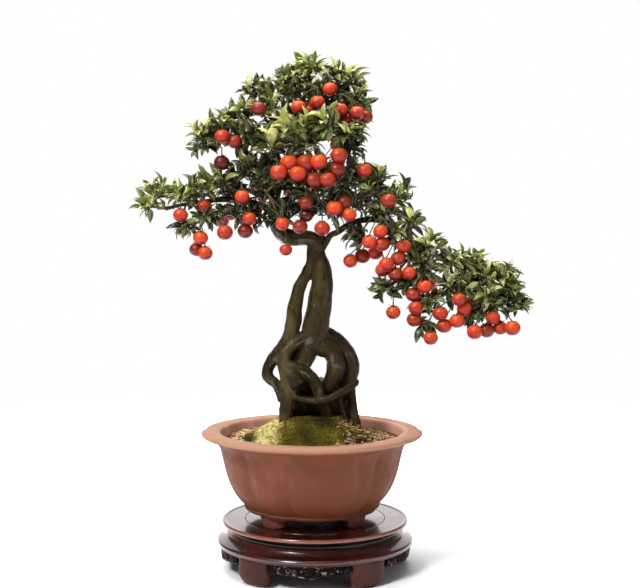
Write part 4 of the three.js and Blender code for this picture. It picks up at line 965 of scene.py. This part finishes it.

# Each spray's branch, its share of young pale leaves, set higher on sprays in the light as painted light,
# and the middles and half sizes of its leafy clumps.
sprays = {
    "far_left": ([[-186, -16, 469, 2.4], [-196, -17, 468, 2]], 0.55,
        [[-203, -16, 487, 14, 12, 9], [-214, -18, 470, 8, 8, 7]]),
    "left_low": ([[-150, -15, 476, 2.6], [-158, -18, 483, 2]], 0.4,
        [[-172, -20, 482, 16, 14, 10], [-148, -16, 493, 18, 18, 12], [-140, -24, 454, 12, 10, 11],
         [-160, 8, 482, 13, 12, 8], [-166, -22, 442, 7, 8, 5]]),
    "left_inner": ([[-96, -8, 478, 3], [-102, -12, 490, 2.2]], 0.15,
        [[-117, -18, 499, 19, 20, 14], [-88, -12, 514, 18, 20, 15], [-99, -24, 460, 22, 12, 13],
         [-112, 16, 489, 17, 14, 12]]),
    "left_upper": ([[-112, -6, 557, 2.6], [-126, -8, 566, 2]], 0.4,
        [[-143, -14, 562, 14, 14, 8], [-117, -12, 575, 15, 15, 10], [-145, -12, 545, 10, 10, 5],
         [-128, 10, 560, 15, 12, 10]]),
    "left_crest": ([[-88, -4, 538, 3], [-90, 0, 560, 2.4], [-92, 3, 580, 2]], 0.3,
        [[-80, 0, 619, 11, 14, 10], [-60, -8, 594, 16, 16, 13], [-95, -6, 588, 14, 14, 12],
         [-89, -14, 558, 19, 16, 17]]),
    "top_left": ([[-6, 4, 594, 3], [-20, 2, 612, 2.2]], 0.4,
        [[-26, -4, 640, 12, 14, 10], [-5, -8, 645, 15, 16, 10], [-21, 2, 622, 20, 18, 12]]),
    "top_right": ([[2, 3, 606, 3], [18, 0, 618, 2.4], [28, -2, 622, 2]], 0.45,
        [[23, -8, 638, 15, 16, 10], [45, -6, 631, 14, 16, 11], [56, -8, 606, 9, 14, 12],
         [24, 14, 618, 18, 16, 12]]),
    "middle_left": ([[-42, 6, 520, 4], [-48, -12, 536, 3], [-50, -24, 546, 2.2]], 0.52,
        [[-22, -42, 566, 20, 14, 13], [-55, -26, 544, 20, 16, 15]]),
    "middle_front": ([[-32, 6, 542, 4], [-12, -14, 552, 3], [0, -30, 556, 2.2]], 0.52,
        [[15, -42, 572, 20, 14, 11], [-4, -34, 549, 20, 12, 10]]),
    "middle_right": ([[-20, 6, 564, 3.6], [10, 0, 562, 3], [34, -6, 556, 2.4]], 0.15,
        [[42, -36, 561, 15, 14, 14], [46, -16, 584, 12, 14, 12], [46, -10, 545, 12, 16, 16]]),
    "inner_left": ([[-52, 4, 474, 4], [-58, -12, 482, 3], [-62, -24, 488, 2.2]], 0.05,
        [[-46, -28, 503, 24, 14, 15], [-68, -14, 481, 19, 16, 13], [-33, -18, 462, 10, 8, 9],
         [-72, -20, 457, 7, 6, 5], [-44, -26, 454, 9, 8, 8]]),
    "inner_front": ([[-48, 4, 496, 4], [-20, -16, 492, 3], [-4, -30, 488, 2.2]], 0.05,
        [[-9, -36, 488, 23, 12, 15], [33, -28, 496, 19, 14, 17], [21, -22, 460, 21, 14, 8],
         [56, -22, 470, 10, 10, 13]]),
    "back_upper": ([[-28, 8, 548, 4], [-20, 28, 564, 3], [-14, 42, 574, 2.2]], 0.15,
        [[-53, 34, 620, 24, 16, 19], [7, 40, 610, 35, 18, 27], [49, 34, 586, 21, 16, 24],
         [-39, 40, 573, 32, 18, 24]]),
    "back_lower": ([[-51, 4, 476, 4], [-24, 28, 486, 3], [-4, 42, 492, 2.2]], 0.1,
        [[-71, 38, 520, 29, 18, 21], [-9, 42, 514, 37, 18, 24], [44, 36, 506, 27, 16, 24],
         [7, 26, 469, 26, 14, 12]]),
    "shoulder": ([[74, -5, 453, 3.4], [84, -8, 468, 2.6], [90, -8, 478, 2.1]], 0.2,
        [[80, -8, 504, 12, 14, 10], [72, -14, 488, 16, 16, 13], [107, -10, 481, 14, 16, 13],
         [90, -16, 460, 18, 14, 10], [88, 20, 474, 18, 14, 14], [54, -24, 432, 13, 8, 8],
         [99, -26, 432, 10, 8, 8]]),
    "cascade_1": ([[116, -9, 434, 3], [122, -12, 440, 2.1]], 0.25,
        [[122, -12, 449, 15, 15, 11], [146, -14, 418, 18, 18, 13], [140, -18, 388, 18, 14, 14],
         [91, -26, 363, 6, 8, 6], [134, 14, 406, 20, 14, 15], [146, -26, 346, 10, 9, 14],
         [118, -24, 368, 8, 8, 8], [136, -26, 317, 5, 5, 4]]),
    "cascade_2": ([[160, -14, 407, 3], [168, -16, 413, 2.1]], 0.35,
        [[181, -14, 398, 18, 18, 11], [178, -22, 364, 22, 14, 14], [203, 12, 374, 18, 14, 14],
         [210, -24, 342, 14, 10, 12]]),
    "cascade_3": ([[206, -15, 393, 2.6], [214, -16, 397, 2]], 0.4,
        [[214, -14, 380, 17, 16, 11], [220, -20, 354, 19, 14, 12], [243, -14, 372, 14, 14, 10],
         [230, -20, 338, 18, 10, 8], [206, -24, 330, 9, 8, 6], [207, -12, 396, 9, 10, 7]]),
    "cascade_tip": ([[228, -15, 387, 2.3], [242, -15, 381, 2]], 0.45,
        [[251, -16, 358, 12, 14, 12], [262, -16, 342, 7, 8, 8], [243, 8, 354, 14, 12, 10],
         [246, -12, 383, 11, 10, 7]]),
}
crown_wood = strands("crown_wood", boughs + [branch for branch, _, _ in sprays.values()], 3, 6)
melt(crown_wood, 0.9, 3)
gnarl(crown_wood, 0.7, 0.4)
place(crown_wood, "boughs_and_branches", bark, "bark", "wood")


# The fruit: small round persimmons, orange-red and waxy, a little flattened, with a dimple under the
# calyx and a dark speck below. They hang singly or in bunches that touch.
peel = start("persimmon_skin")
ripe_and_lit = put_node(peel.node_tree, "ShaderNodeAttribute", attribute_name="ripe_and_lit").outputs["Fac"]
crown = put_node(peel.node_tree, "ShaderNodeAttribute", attribute_name="crown").outputs["Fac"]
red = blend(peel, patchy(peel, 45, 0.3, 0.7), paint(166, 20, 4), paint(190, 42, 12))
# Painted light on each fruit: its top is painted paler orange, partly its colour near the calyx and partly a
# painted highlight, and its underside is painted darker, painted shade.
top_lit = blend(peel, between(peel, crown, 0.35, 1, 0, 0.9), red, paint(226, 96, 34))
shaded = blend(peel, between(peel, crown, 0, 0.46, 0.85, 0), top_lit, paint(108, 10, 3))
# Dull dark red stands both for unripe fruit and for painted shade on fruits deep in the crown.
dull_and_shaded = blend(peel, ripe_and_lit, paint(78, 8, 4), shaded)
freckled = blend(peel, patchy(peel, 900, 0.7, 0.78, 1, 2), dull_and_shaded, paint(190, 60, 22))
speck = blend(peel, between(peel, crown, 0, 0.012, 1, 0), freckled, paint(52, 28, 16))
finish(peel, speck, wander(peel, (60, 0.3, 0.7), 0.36, 0.46), patchy(peel, 1400, 0.2, 0.8),
       strength=0.03, depth=0.1, specular=0.4)
set_inputs(shader_of(peel), Subsurface_Weight=0.03, Subsurface_Radius=(0.004, 0.0012, 0.0006))

FRUIT_RADIUS = 10.6
FRUIT_PITCH = 18
SETTLE_ROUNDS = 60
FRUIT_FLATTENED = 0.93
USUAL_SIZE = 0.95

# How large the fruits of some bunches are against FRUIT_RADIUS, instead of the usual size.
bunch_sizes = {"centre_left": 1.08, "centre_right": 1.06, "centre_shade": 0.9, "low_drop": 0.76,
               "low_left": 0.9}

# The spray that each bunch hangs from, its depth, its fruits as [x, z] in the order in which they touch,
# and how ripe and how lit it is: a low value paints it dull dark red, for unripe fruit and for painted shade.
bunches = {
    "far_left": ("far_left", -26, [[-171, 459]], 1),
    "left_low": ("left_low", -30, [[-145, 431], [-151, 414], [-140, 411]], 1),
    "left_mid": ("left_inner", -34, [[-114, 437]], 1),
    "left_near": ("left_inner", -34, [[-83, 455], [-89, 438]], 0.9),
    "left_inner": ("left_inner", -36, [[-92, 482]], 1),
    "left_upper": ("left_upper", -24, [[-118, 559], [-102, 553]], 1),
    "left_dull": ("left_upper", -16, [[-119, 526]], 0.2),
    "top_middle": ("top_left", -34, [[4, 601], [-9, 588], [-20, 594]], 0.9),
    "top_high": ("top_right", -28, [[19, 618]], 0.9),
    "top_right": ("top_right", -34, [[32, 591], [40, 580], [54, 587], [63, 584]], 1),
    "centre_left": ("middle_left", -54, [[-47, 510], [-31, 527], [-22, 509], [-11, 525], [5, 525]], 1),
    "centre_right": ("middle_front", -52, [[30, 534], [29, 516], [16, 502], [-3, 502]], 1),
    "centre_shade": ("inner_front", -40, [[-11, 474], [-11, 459], [-19, 444]], 0.4),
    "low_left": ("inner_left", -40, [[-41, 448]], 1),
    "low_drop": ("inner_left", -34, [[-37, 415]], 1),
    "low_middle": ("inner_front", -38, [[9, 442]], 1),
    "mid_right": ("middle_right", -40, [[25, 468], [36, 476], [44, 458]], 1),
    "right_high": ("middle_right", -28, [[63, 516]], 0.9),
    "shoulder": ("shoulder", -34, [[83, 439], [86, 422], [68, 425]], 1),
    "shoulder_low": ("shoulder", -5, [[79, 411], [61.5, 406.5], [45, 400]], 0.75),
    "cascade_cluster": ("cascade_1", -32, [[113, 421], [106, 403], [90, 397], [102, 383], [121, 386]], 1),
    "cascade_low": ("cascade_2", -34, [[140, 369], [124, 358], [128, 340], [127, 326]], 1),
    "cascade_mid": ("cascade_2", -32, [[159, 336], [167, 316], [178, 321], [193, 342]], 1),
    "cascade_end": ("cascade_3", -28, [[204, 310], [222, 311], [227, 330], [238, 313], [251, 315]], 1),
}


# More fruits that hang singly or in pairs among the leaves, some of them on the far side.
scattered = {
    "left_hidden": ("left_low", -16, [[-142, 470]], 0.8),
    "crest_pale": ("left_crest", -26, [[-71, 594]], 0.7),
    "shoulder_front": ("shoulder", -32, [[93, 477]], 0.6),
    "cascade_behind": ("cascade_1", -16, [[87, 389]], 0.7),
    "cascade_single": ("cascade_1", -40, [[99, 336]], 1),
    "cascade_lowest": ("cascade_1", -36, [[147, 303]], 1),
    "cascade_leafy": ("cascade_2", -34, [[183, 352]], 1),
    "back_top": ("back_upper", 62, [[-30, 592], [-16, 582]], 1),
    "back_left": ("back_upper", 58, [[-62, 566]], 0.9),
    "back_right": ("back_upper", 60, [[34, 572], [46, 560], [30, 555]], 1),
    "back_middle": ("back_lower", 64, [[-34, 492], [-18, 486]], 1),
    "back_low": ("back_lower", 60, [[30, 484]], 0.8),
    "back_far": ("back_lower", 56, [[-78, 502], [-70, 488]], 1),
    "back_shoulder": ("shoulder", 42, [[92, 452], [104, 440]], 1),
    "back_cascade": ("cascade_1", 34, [[140, 378], [152, 368]], 1),
    "back_cascade_end": ("cascade_2", 32, [[206, 344]], 0.9),
    "back_left_inner": ("left_inner", 38, [[-112, 462], [-124, 452]], 1),
}


def settle(depth, fruits):
    """Pushes the fruits of a bunch apart, or pulls them together, until neighbours just touch."""
    spots = [Vector((x, depth + (6 if i % 2 else -3), z)) for i, (x, z) in enumerate(fruits)]
    for _ in range(SETTLE_ROUNDS):
        for i in range(len(spots)):
            for j in range(i + 1, len(spots)):
                apart = spots[j] - spots[i]
                if j > i + 1 and apart.length > FRUIT_PITCH:
                    continue
                move = (apart.length - FRUIT_PITCH) / apart.length / 4
                step = Vector((apart.x * 0.3, apart.y, apart.z * 0.3)) * move
                spots[i] += step
                spots[j] -= step
    return spots


bpy.ops.mesh.primitive_uv_sphere_add(segments=28, ring_count=18, radius=1)
fruit_body = bpy.context.object
for vertex in fruit_body.data.vertices:
    flat = math.hypot(vertex.co.x, vertex.co.y)
    four = 1 + 0.012 * math.cos(4 * math.atan2(vertex.co.y, vertex.co.x))
    deep, wide = (0.14, 0.34) if vertex.co.z > 0 else (0.05, 0.2)
    dimple = deep * math.exp(-((flat / wide) ** 2))
    vertex.co.z = (vertex.co.z - math.copysign(dimple, vertex.co.z)) * FRUIT_FLATTENED
    vertex.co.x *= four
    vertex.co.y *= four
fruit_crown = [(v.co.z / FRUIT_FLATTENED + 1) / 2 for v in fruit_body.data.vertices]
fruit_template = mesh_of(fruit_body)

draw = random.Random(7)
fruit_places = {}
for name, (spray, depth, fruits, ripeness_and_light) in {**bunches, **scattered}.items():
    spots = settle(depth, fruits)
    fruit_places[name] = spots
    placed = []
    ripe_and_lit_values = []
    for spot in spots:
        size = FRUIT_RADIUS * draw.uniform(0.92, 1.03) * bunch_sizes.get(name, USUAL_SIZE)
        tilt = draw.uniform(-0.2, 0.2)
        turned_by = draw.uniform(0, FULL_TURN)
        roll = draw.uniform(-0.2, 0.2)
        placed.append(set_down(from_stand(*spot), turned_by, tilt, roll, (size, size, size)))
        # Fruits set back from the front of their bunch are painted darker, painted shade.
        shade_behind = 0.4 if len(spots) > 1 and abs(spot.y) < abs(depth) - 3 else 0
        ripe_and_lit_values.append(min(1, max(0, ripeness_and_light - shade_behind + draw.uniform(-0.4, 0.12))))
    bunch = copies(f"persimmons_{name}", fruit_template, placed, {"ripe_and_lit": ripe_and_lit_values})
    bunch_crown = bunch.data.attributes.new("crown", "FLOAT", "POINT")
    bunch_crown.data.foreach_set("value", np.tile(np.array(fruit_crown, dtype=np.float32), len(spots)))
    replaced = [f"fruit_{name}"] if name in bunches else []
    place(bunch, f"persimmons_{name}", peel, "fruit", *replaced)


# The leaves: narrow blades with a pointed tip, folded a little at the midrib and arched, glossy dark
# green when old and pale yellow-green when young. They stand in tufts at the ends of thin twigs.
leaf_skin = start("leaf_blade")
tone = put_node(leaf_skin.node_tree, "ShaderNodeAttribute", attribute_name="tone").outputs["Fac"]
shade = put_node(leaf_skin.node_tree, "ShaderNodeAttribute", attribute_name="shade").outputs["Fac"]
leaf_uv = put_node(leaf_skin.node_tree, "ShaderNodeUVMap", uv_map="blade")
leaf_axes = put_node(leaf_skin.node_tree, "ShaderNodeSeparateXYZ")
wire(leaf_skin.node_tree, (leaf_uv, "UV", leaf_axes, 0))
SIDE_VEINS = 9.0
from_rib = sum_up(leaf_skin, "ABSOLUTE", sum_up(leaf_skin, "SUBTRACT", leaf_axes.outputs["X"], 0.5))
slant = sum_up(leaf_skin, "SUBTRACT", leaf_axes.outputs["Y"], sum_up(leaf_skin, "MULTIPLY", from_rib, 0.5))
wave = sum_up(leaf_skin, "FRACT", sum_up(leaf_skin, "MULTIPLY", slant, SIDE_VEINS))
from_vein = sum_up(leaf_skin, "ABSOLUTE", sum_up(leaf_skin, "SUBTRACT", wave, 0.5))
side_vein = between(leaf_skin, from_vein, 0.0, 0.12, 1, 0)
rib = between(leaf_skin, from_rib, 0.02, 0.07, 1, 0)
veins = sum_up(leaf_skin, "MAXIMUM", rib, sum_up(leaf_skin, "MULTIPLY", side_vein, 0.45))
# The "shade" attribute is painted light and shade: each leaf is lighter where light reaches its twig's tip,
# darker low in its clump and under other clumps, and the palest colours are painted highlights.
dark_leaf = blend(leaf_skin, shade, paint(9, 7, 0), paint(138, 146, 70))
young_leaf = blend(leaf_skin, shade, paint(120, 132, 46), paint(244, 240, 156))
by_age_and_light = blend(leaf_skin, tone, dark_leaf, young_leaf)
mottled = blend(leaf_skin, patchy(leaf_skin, 300, 0.6, 0.9), by_age_and_light, paint(88, 84, 34))
veined = blend(leaf_skin, sum_up(leaf_skin, "MULTIPLY", veins, 0.32), mottled, paint(150, 158, 96))
leaf_relief = sum_up(leaf_skin, "SUBTRACT", 1.0, veins)
finish(leaf_skin, veined, wander(leaf_skin, (200, 0.3, 0.7), 0.24, 0.42), leaf_relief,
       strength=0.35, depth=0.25, specular=0.6)

twig_bark = start("twig_bark")
twig_tone = blend(twig_bark, patchy(twig_bark, 180, 0.35, 0.7), paint(66, 52, 34), paint(100, 88, 50))
finish(twig_bark, twig_tone, 0.7, patchy(twig_bark, 900, 0.2, 0.8, 0.4), strength=0.4, depth=0.3)

calyx_skin = start("dry_calyx")
calyx_tone = blend(calyx_skin, patchy(calyx_skin, 220, 0.35, 0.7), paint(46, 34, 18), paint(92, 84, 38))
finish(calyx_skin, calyx_tone, 0.65, patchy(calyx_skin, 900, 0.2, 0.8), strength=0.4, depth=0.3)

LEAF_LENGTH = 23.5
LEAF_WIDTH = 8.4

bpy.ops.mesh.primitive_grid_add(x_subdivisions=2, y_subdivisions=5, size=1)
blade = bpy.context.object
apply_modifier(blade, "SOLIDIFY", thickness=0.012, offset=0)
blade_uv = []
for vertex in blade.data.vertices:
    across = vertex.co.x * 2
    along = vertex.co.y + 0.5
    width = 0.06 + 0.94 * math.sin(math.pi * along ** 1.15) ** 0.85 if along < 0.999 else 0.04
    blade_uv.append((across / 2 + 0.5, along))
    fold = 0.07 * abs(across) * width
    arch = 0.16 * math.sin(math.pi * along * 0.9) - 0.12 * along * along
    vertex.co = (across * 0.5 * width, along, vertex.co.z + fold + arch)
blade_template = mesh_of(blade)

bpy.ops.mesh.primitive_circle_add(vertices=16, radius=1, fill_type="TRIFAN")
sepals = bpy.context.object
apply_modifier(sepals, "SOLIDIFY", thickness=0.08)
for vertex in sepals.data.vertices:
    swing = math.atan2(vertex.co.y, vertex.co.x)
    reach = 0.42 + 0.58 * abs(math.cos(2 * swing)) ** 1.5
    flat = math.hypot(vertex.co.x, vertex.co.y)
    lift = 0.1 * math.cos(2 * swing) ** 2 if flat > 0.5 else 0
    vertex.co = (vertex.co.x * reach, vertex.co.y * reach, vertex.co.z + lift)
sepal_template = mesh_of(sepals)

GOLDEN_TURN = math.pi * (3 - math.sqrt(5))
CLEAR_OF_FRUIT = 1.5
HIDES_WITHIN = 6.3
TWIG_REACH = 15
LEAF_TRIES = 5
BROAD_LEAVED = ("middle_left", "middle_front")
all_fruits = [spot for spots in fruit_places.values() for spot in spots]
front_fruits = [spot for spot in all_fruits if spot.y < 0]
all_clumps = [clump for _, _, clumps in sprays.values() for clump in clumps]


def meets_fruit(places):
    reach = FRUIT_RADIUS + CLEAR_OF_FRUIT
    return any((spot - fruit).length < reach for spot in places for fruit in all_fruits)


def hides_fruit(places):
    """Whether a leaf would stand in front of a fruit, as seen from the front."""
    return any(math.hypot(spot.x - fruit.x, spot.z - fruit.z) < HIDES_WITHIN and spot.y < fruit.y
               for spot in places for fruit in front_fruits)


def leaf_frame(root, along, facing, length, width):
    """The matrix of a leaf: its root, the way it points, the way its face looks, and its size."""
    side_way = along.cross(facing).normalized()
    face_way = side_way.cross(along).normalized()
    base = Matrix((side_way * width, along * length, face_way * length)).transposed().to_4x4()
    root_place = Vector((stand_x / mm + root.x, root.y, root.z))
    return np.array(Matrix.Scale(mm, 4) @ Matrix.Translation(root_place) @ base)


def light_at(spot, height):
    """How much light a twig's tip gets, from 0.08 to 1: less low in its clump and under other clumps."""
    over = sum(abs(spot.x - x) < 1.25 * half_x and abs(spot.y - y) < 26 and z > spot.z + 7
               for x, y, z, half_x, half_y, half_z in all_clumps)
    return min(1, max(0.08, (0.8 + 0.6 * height) * 0.7 ** over))


def leafy_twig(start_at, tip, draw, grown, young, lit, broad):
    """Bends a twig up to its tip and sets leaves round it, thickest at the end."""
    count = draw.randint(4, 8)
    sag = Vector((draw.uniform(-3, 3), draw.uniform(-3, 3), draw.uniform(-5, 1)))
    middle = start_at.lerp(tip, 0.55) + sag
    grown["paths"].append([[*start_at, 1.1], [*middle, 0.9], [*tip, 0.6]])
    forward = (tip - middle).normalized()
    across = forward.cross(Vector((0.31, 0.17, 1))).normalized()
    beside = forward.cross(across)
    turn_by = draw.uniform(0, FULL_TURN)
    for k in range(count):
        back = (k / count) ** 1.3 * TWIG_REACH
        root = tip - forward * back if back < (tip - middle).length else middle.lerp(start_at, 0.3)
        for _ in range(LEAF_TRIES):
            turn_by += GOLDEN_TURN + draw.uniform(-0.3, 0.3)
            outward = across * math.cos(turn_by) + beside * math.sin(turn_by)
            tilt = 0.3 + 0.9 * (k + 1) / count + draw.uniform(-0.3, 0.4)
            along = forward * math.cos(tilt) + outward * math.sin(tilt) + Vector((0, 0, 0.2))
            along.normalize()
            grow = broad * draw.uniform(0.62, 1.15) * (0.7 if k == 0 else 1)
            length = LEAF_LENGTH * grow
            along_it = [root + along * length * part for part in (0.2, 0.5, 0.75, 1)]
            if not (meets_fruit(along_it) or hides_fruit(along_it)):
                break
        else:
            continue
        facing = Vector((0, 0, 0.6)) + forward * 0.5 - outward * 0.2
        facing += Vector([draw.uniform(-0.6, 0.6) for _ in range(3)])
        width = LEAF_WIDTH * grow * draw.uniform(0.85, 1.1)
        grown["leaves"].append(leaf_frame(root, along, facing, length, width))
        # Young and newest leaves are weighted by the painted light at the tip, so the pale ones stand in the
        # light.
        newest = 0.35 if k < 2 else 0
        grown["tone"].append(min(1, max(0, young + newest * lit + draw.uniform(-0.4, 0.4) * lit)))
        grown["shade"].append(draw.choice((0, 0.3, 1)) * draw.uniform(0.8, 1) * lit)


def hang(spots, stem_place, draw, grown):
    """A twig from the spray's stem to a bunch, and from its end a stalk to each fruit's calyx."""
    top = max(spots, key=lambda spot: spot.z)
    knot = top + Vector((0, 2, FRUIT_RADIUS + 9))
    middle = stem_place.lerp(knot, 0.5) + Vector((0, -3, 4))
    grown["paths"].append([[*stem_place, 1.3], [*middle, 1.1], [*knot, 0.9]])
    for spot in spots:
        crown_place = spot + Vector((0, 0, FRUIT_RADIUS * 0.82))
        bend = knot.lerp(crown_place, 0.5) + Vector((0, 0, 3))
        grown["paths"].append([[*knot, 0.8], [*bend, 0.7], [*crown_place, 0.9]])
        at = from_stand(spot.x, spot.y, spot.z + FRUIT_RADIUS * 0.8)
        size = draw.uniform(5.8, 7)
        tilt = (draw.uniform(-0.15, 0.15), draw.uniform(-0.15, 0.15))
        grown["sepals"].append(set_down(at, draw.uniform(0, FULL_TURN), *tilt, (size, size, size * 0.8)))


def grow_spray(name, seed):
    """A spray's stems, leafy twigs and fruit stalks, as paths and as places for leaves and calyxes."""
    branch, young, clumps = sprays[name]
    draw = random.Random(seed)
    grown = {"paths": [], "leaves": [], "tone": [], "shade": [], "sepals": []}
    broad = 1.3 if name in BROAD_LEAVED else 1
    end = Vector(branch[-1][:3])
    forward = (end - Vector(branch[-2][:3])).normalized()
    bend = end + forward * 6
    grown["paths"].append([[*(end - forward * 3), 2], [*end, 1.9], [*bend, 1.7]])
    middles = [Vector(clump[:3]) for clump in clumps]
    for middle, clump in zip(middles, clumps):
        sag = Vector((draw.uniform(-3, 3), draw.uniform(-3, 3), draw.uniform(-4, 2)))
        grown["paths"].append([[*end, 1.8], [*(bend.lerp(middle, 0.4) + sag), 1.5], [*middle, 1.1]])
        half_x, half_y, half_z = clump[3:]
        twigs = round(4 + half_x * half_z / 56)
        for i in range(twigs):
            height = 1 - 1.7 * (i + 0.5) / twigs
            flat = math.sqrt(1 - height * height)
            swing = i * GOLDEN_TURN + draw.uniform(-0.5, 0.5)
            reach = draw.uniform(0.55, 0.95)
            outward = Vector((half_x * flat * math.cos(swing), half_y * flat * math.sin(swing),
                              half_z * height))
            tip = middle + reach * outward
            start_at = bend.lerp(middle, draw.uniform(0.75, 1))
            lit = light_at(tip, height)
            leafy_twig(start_at, tip, draw, grown, young * lit, lit, broad)
    for bunch, (spray, *_) in {**bunches, **scattered}.items():
        if spray == name:
            spots = fruit_places[bunch]
            nearest = min(middles, key=lambda middle: (middle - spots[0]).length)
            hang(spots, nearest, draw, grown)
    return grown


FIRST_SEED = 300
for order, name in enumerate(sprays):
    grown = grow_spray(name, FIRST_SEED + order)
    leaf_values = {"tone": grown["tone"], "shade": grown["shade"]}
    leaves = copies(f"leaves_{name}", blade_template, grown["leaves"], leaf_values)
    blade_map = leaves.data.uv_layers.new(name="blade")
    corner_of = np.zeros(len(leaves.data.loops), dtype=np.int32)
    leaves.data.loops.foreach_get("vertex_index", corner_of)
    blade_map.data.foreach_set("uv", np.array(blade_uv, dtype=np.float32)[corner_of % len(blade_uv)].ravel())
    place(leaves, f"leaves_{name}", leaf_skin, "leaf", f"spray_{name}")
    twigs = strands(f"twigs_{name}", grown["paths"], 1, 4)
    bpy.ops.object.shade_smooth()
    place(twigs, f"twigs_{name}", twig_bark, "leaf", f"spray_{name}")
    if grown["sepals"]:
        sepal_body = copies(f"calyxes_{name}", sepal_template, grown["sepals"], {})
        place(sepal_body, f"calyxes_{name}", calyx_skin, "leaf", f"spray_{name}")
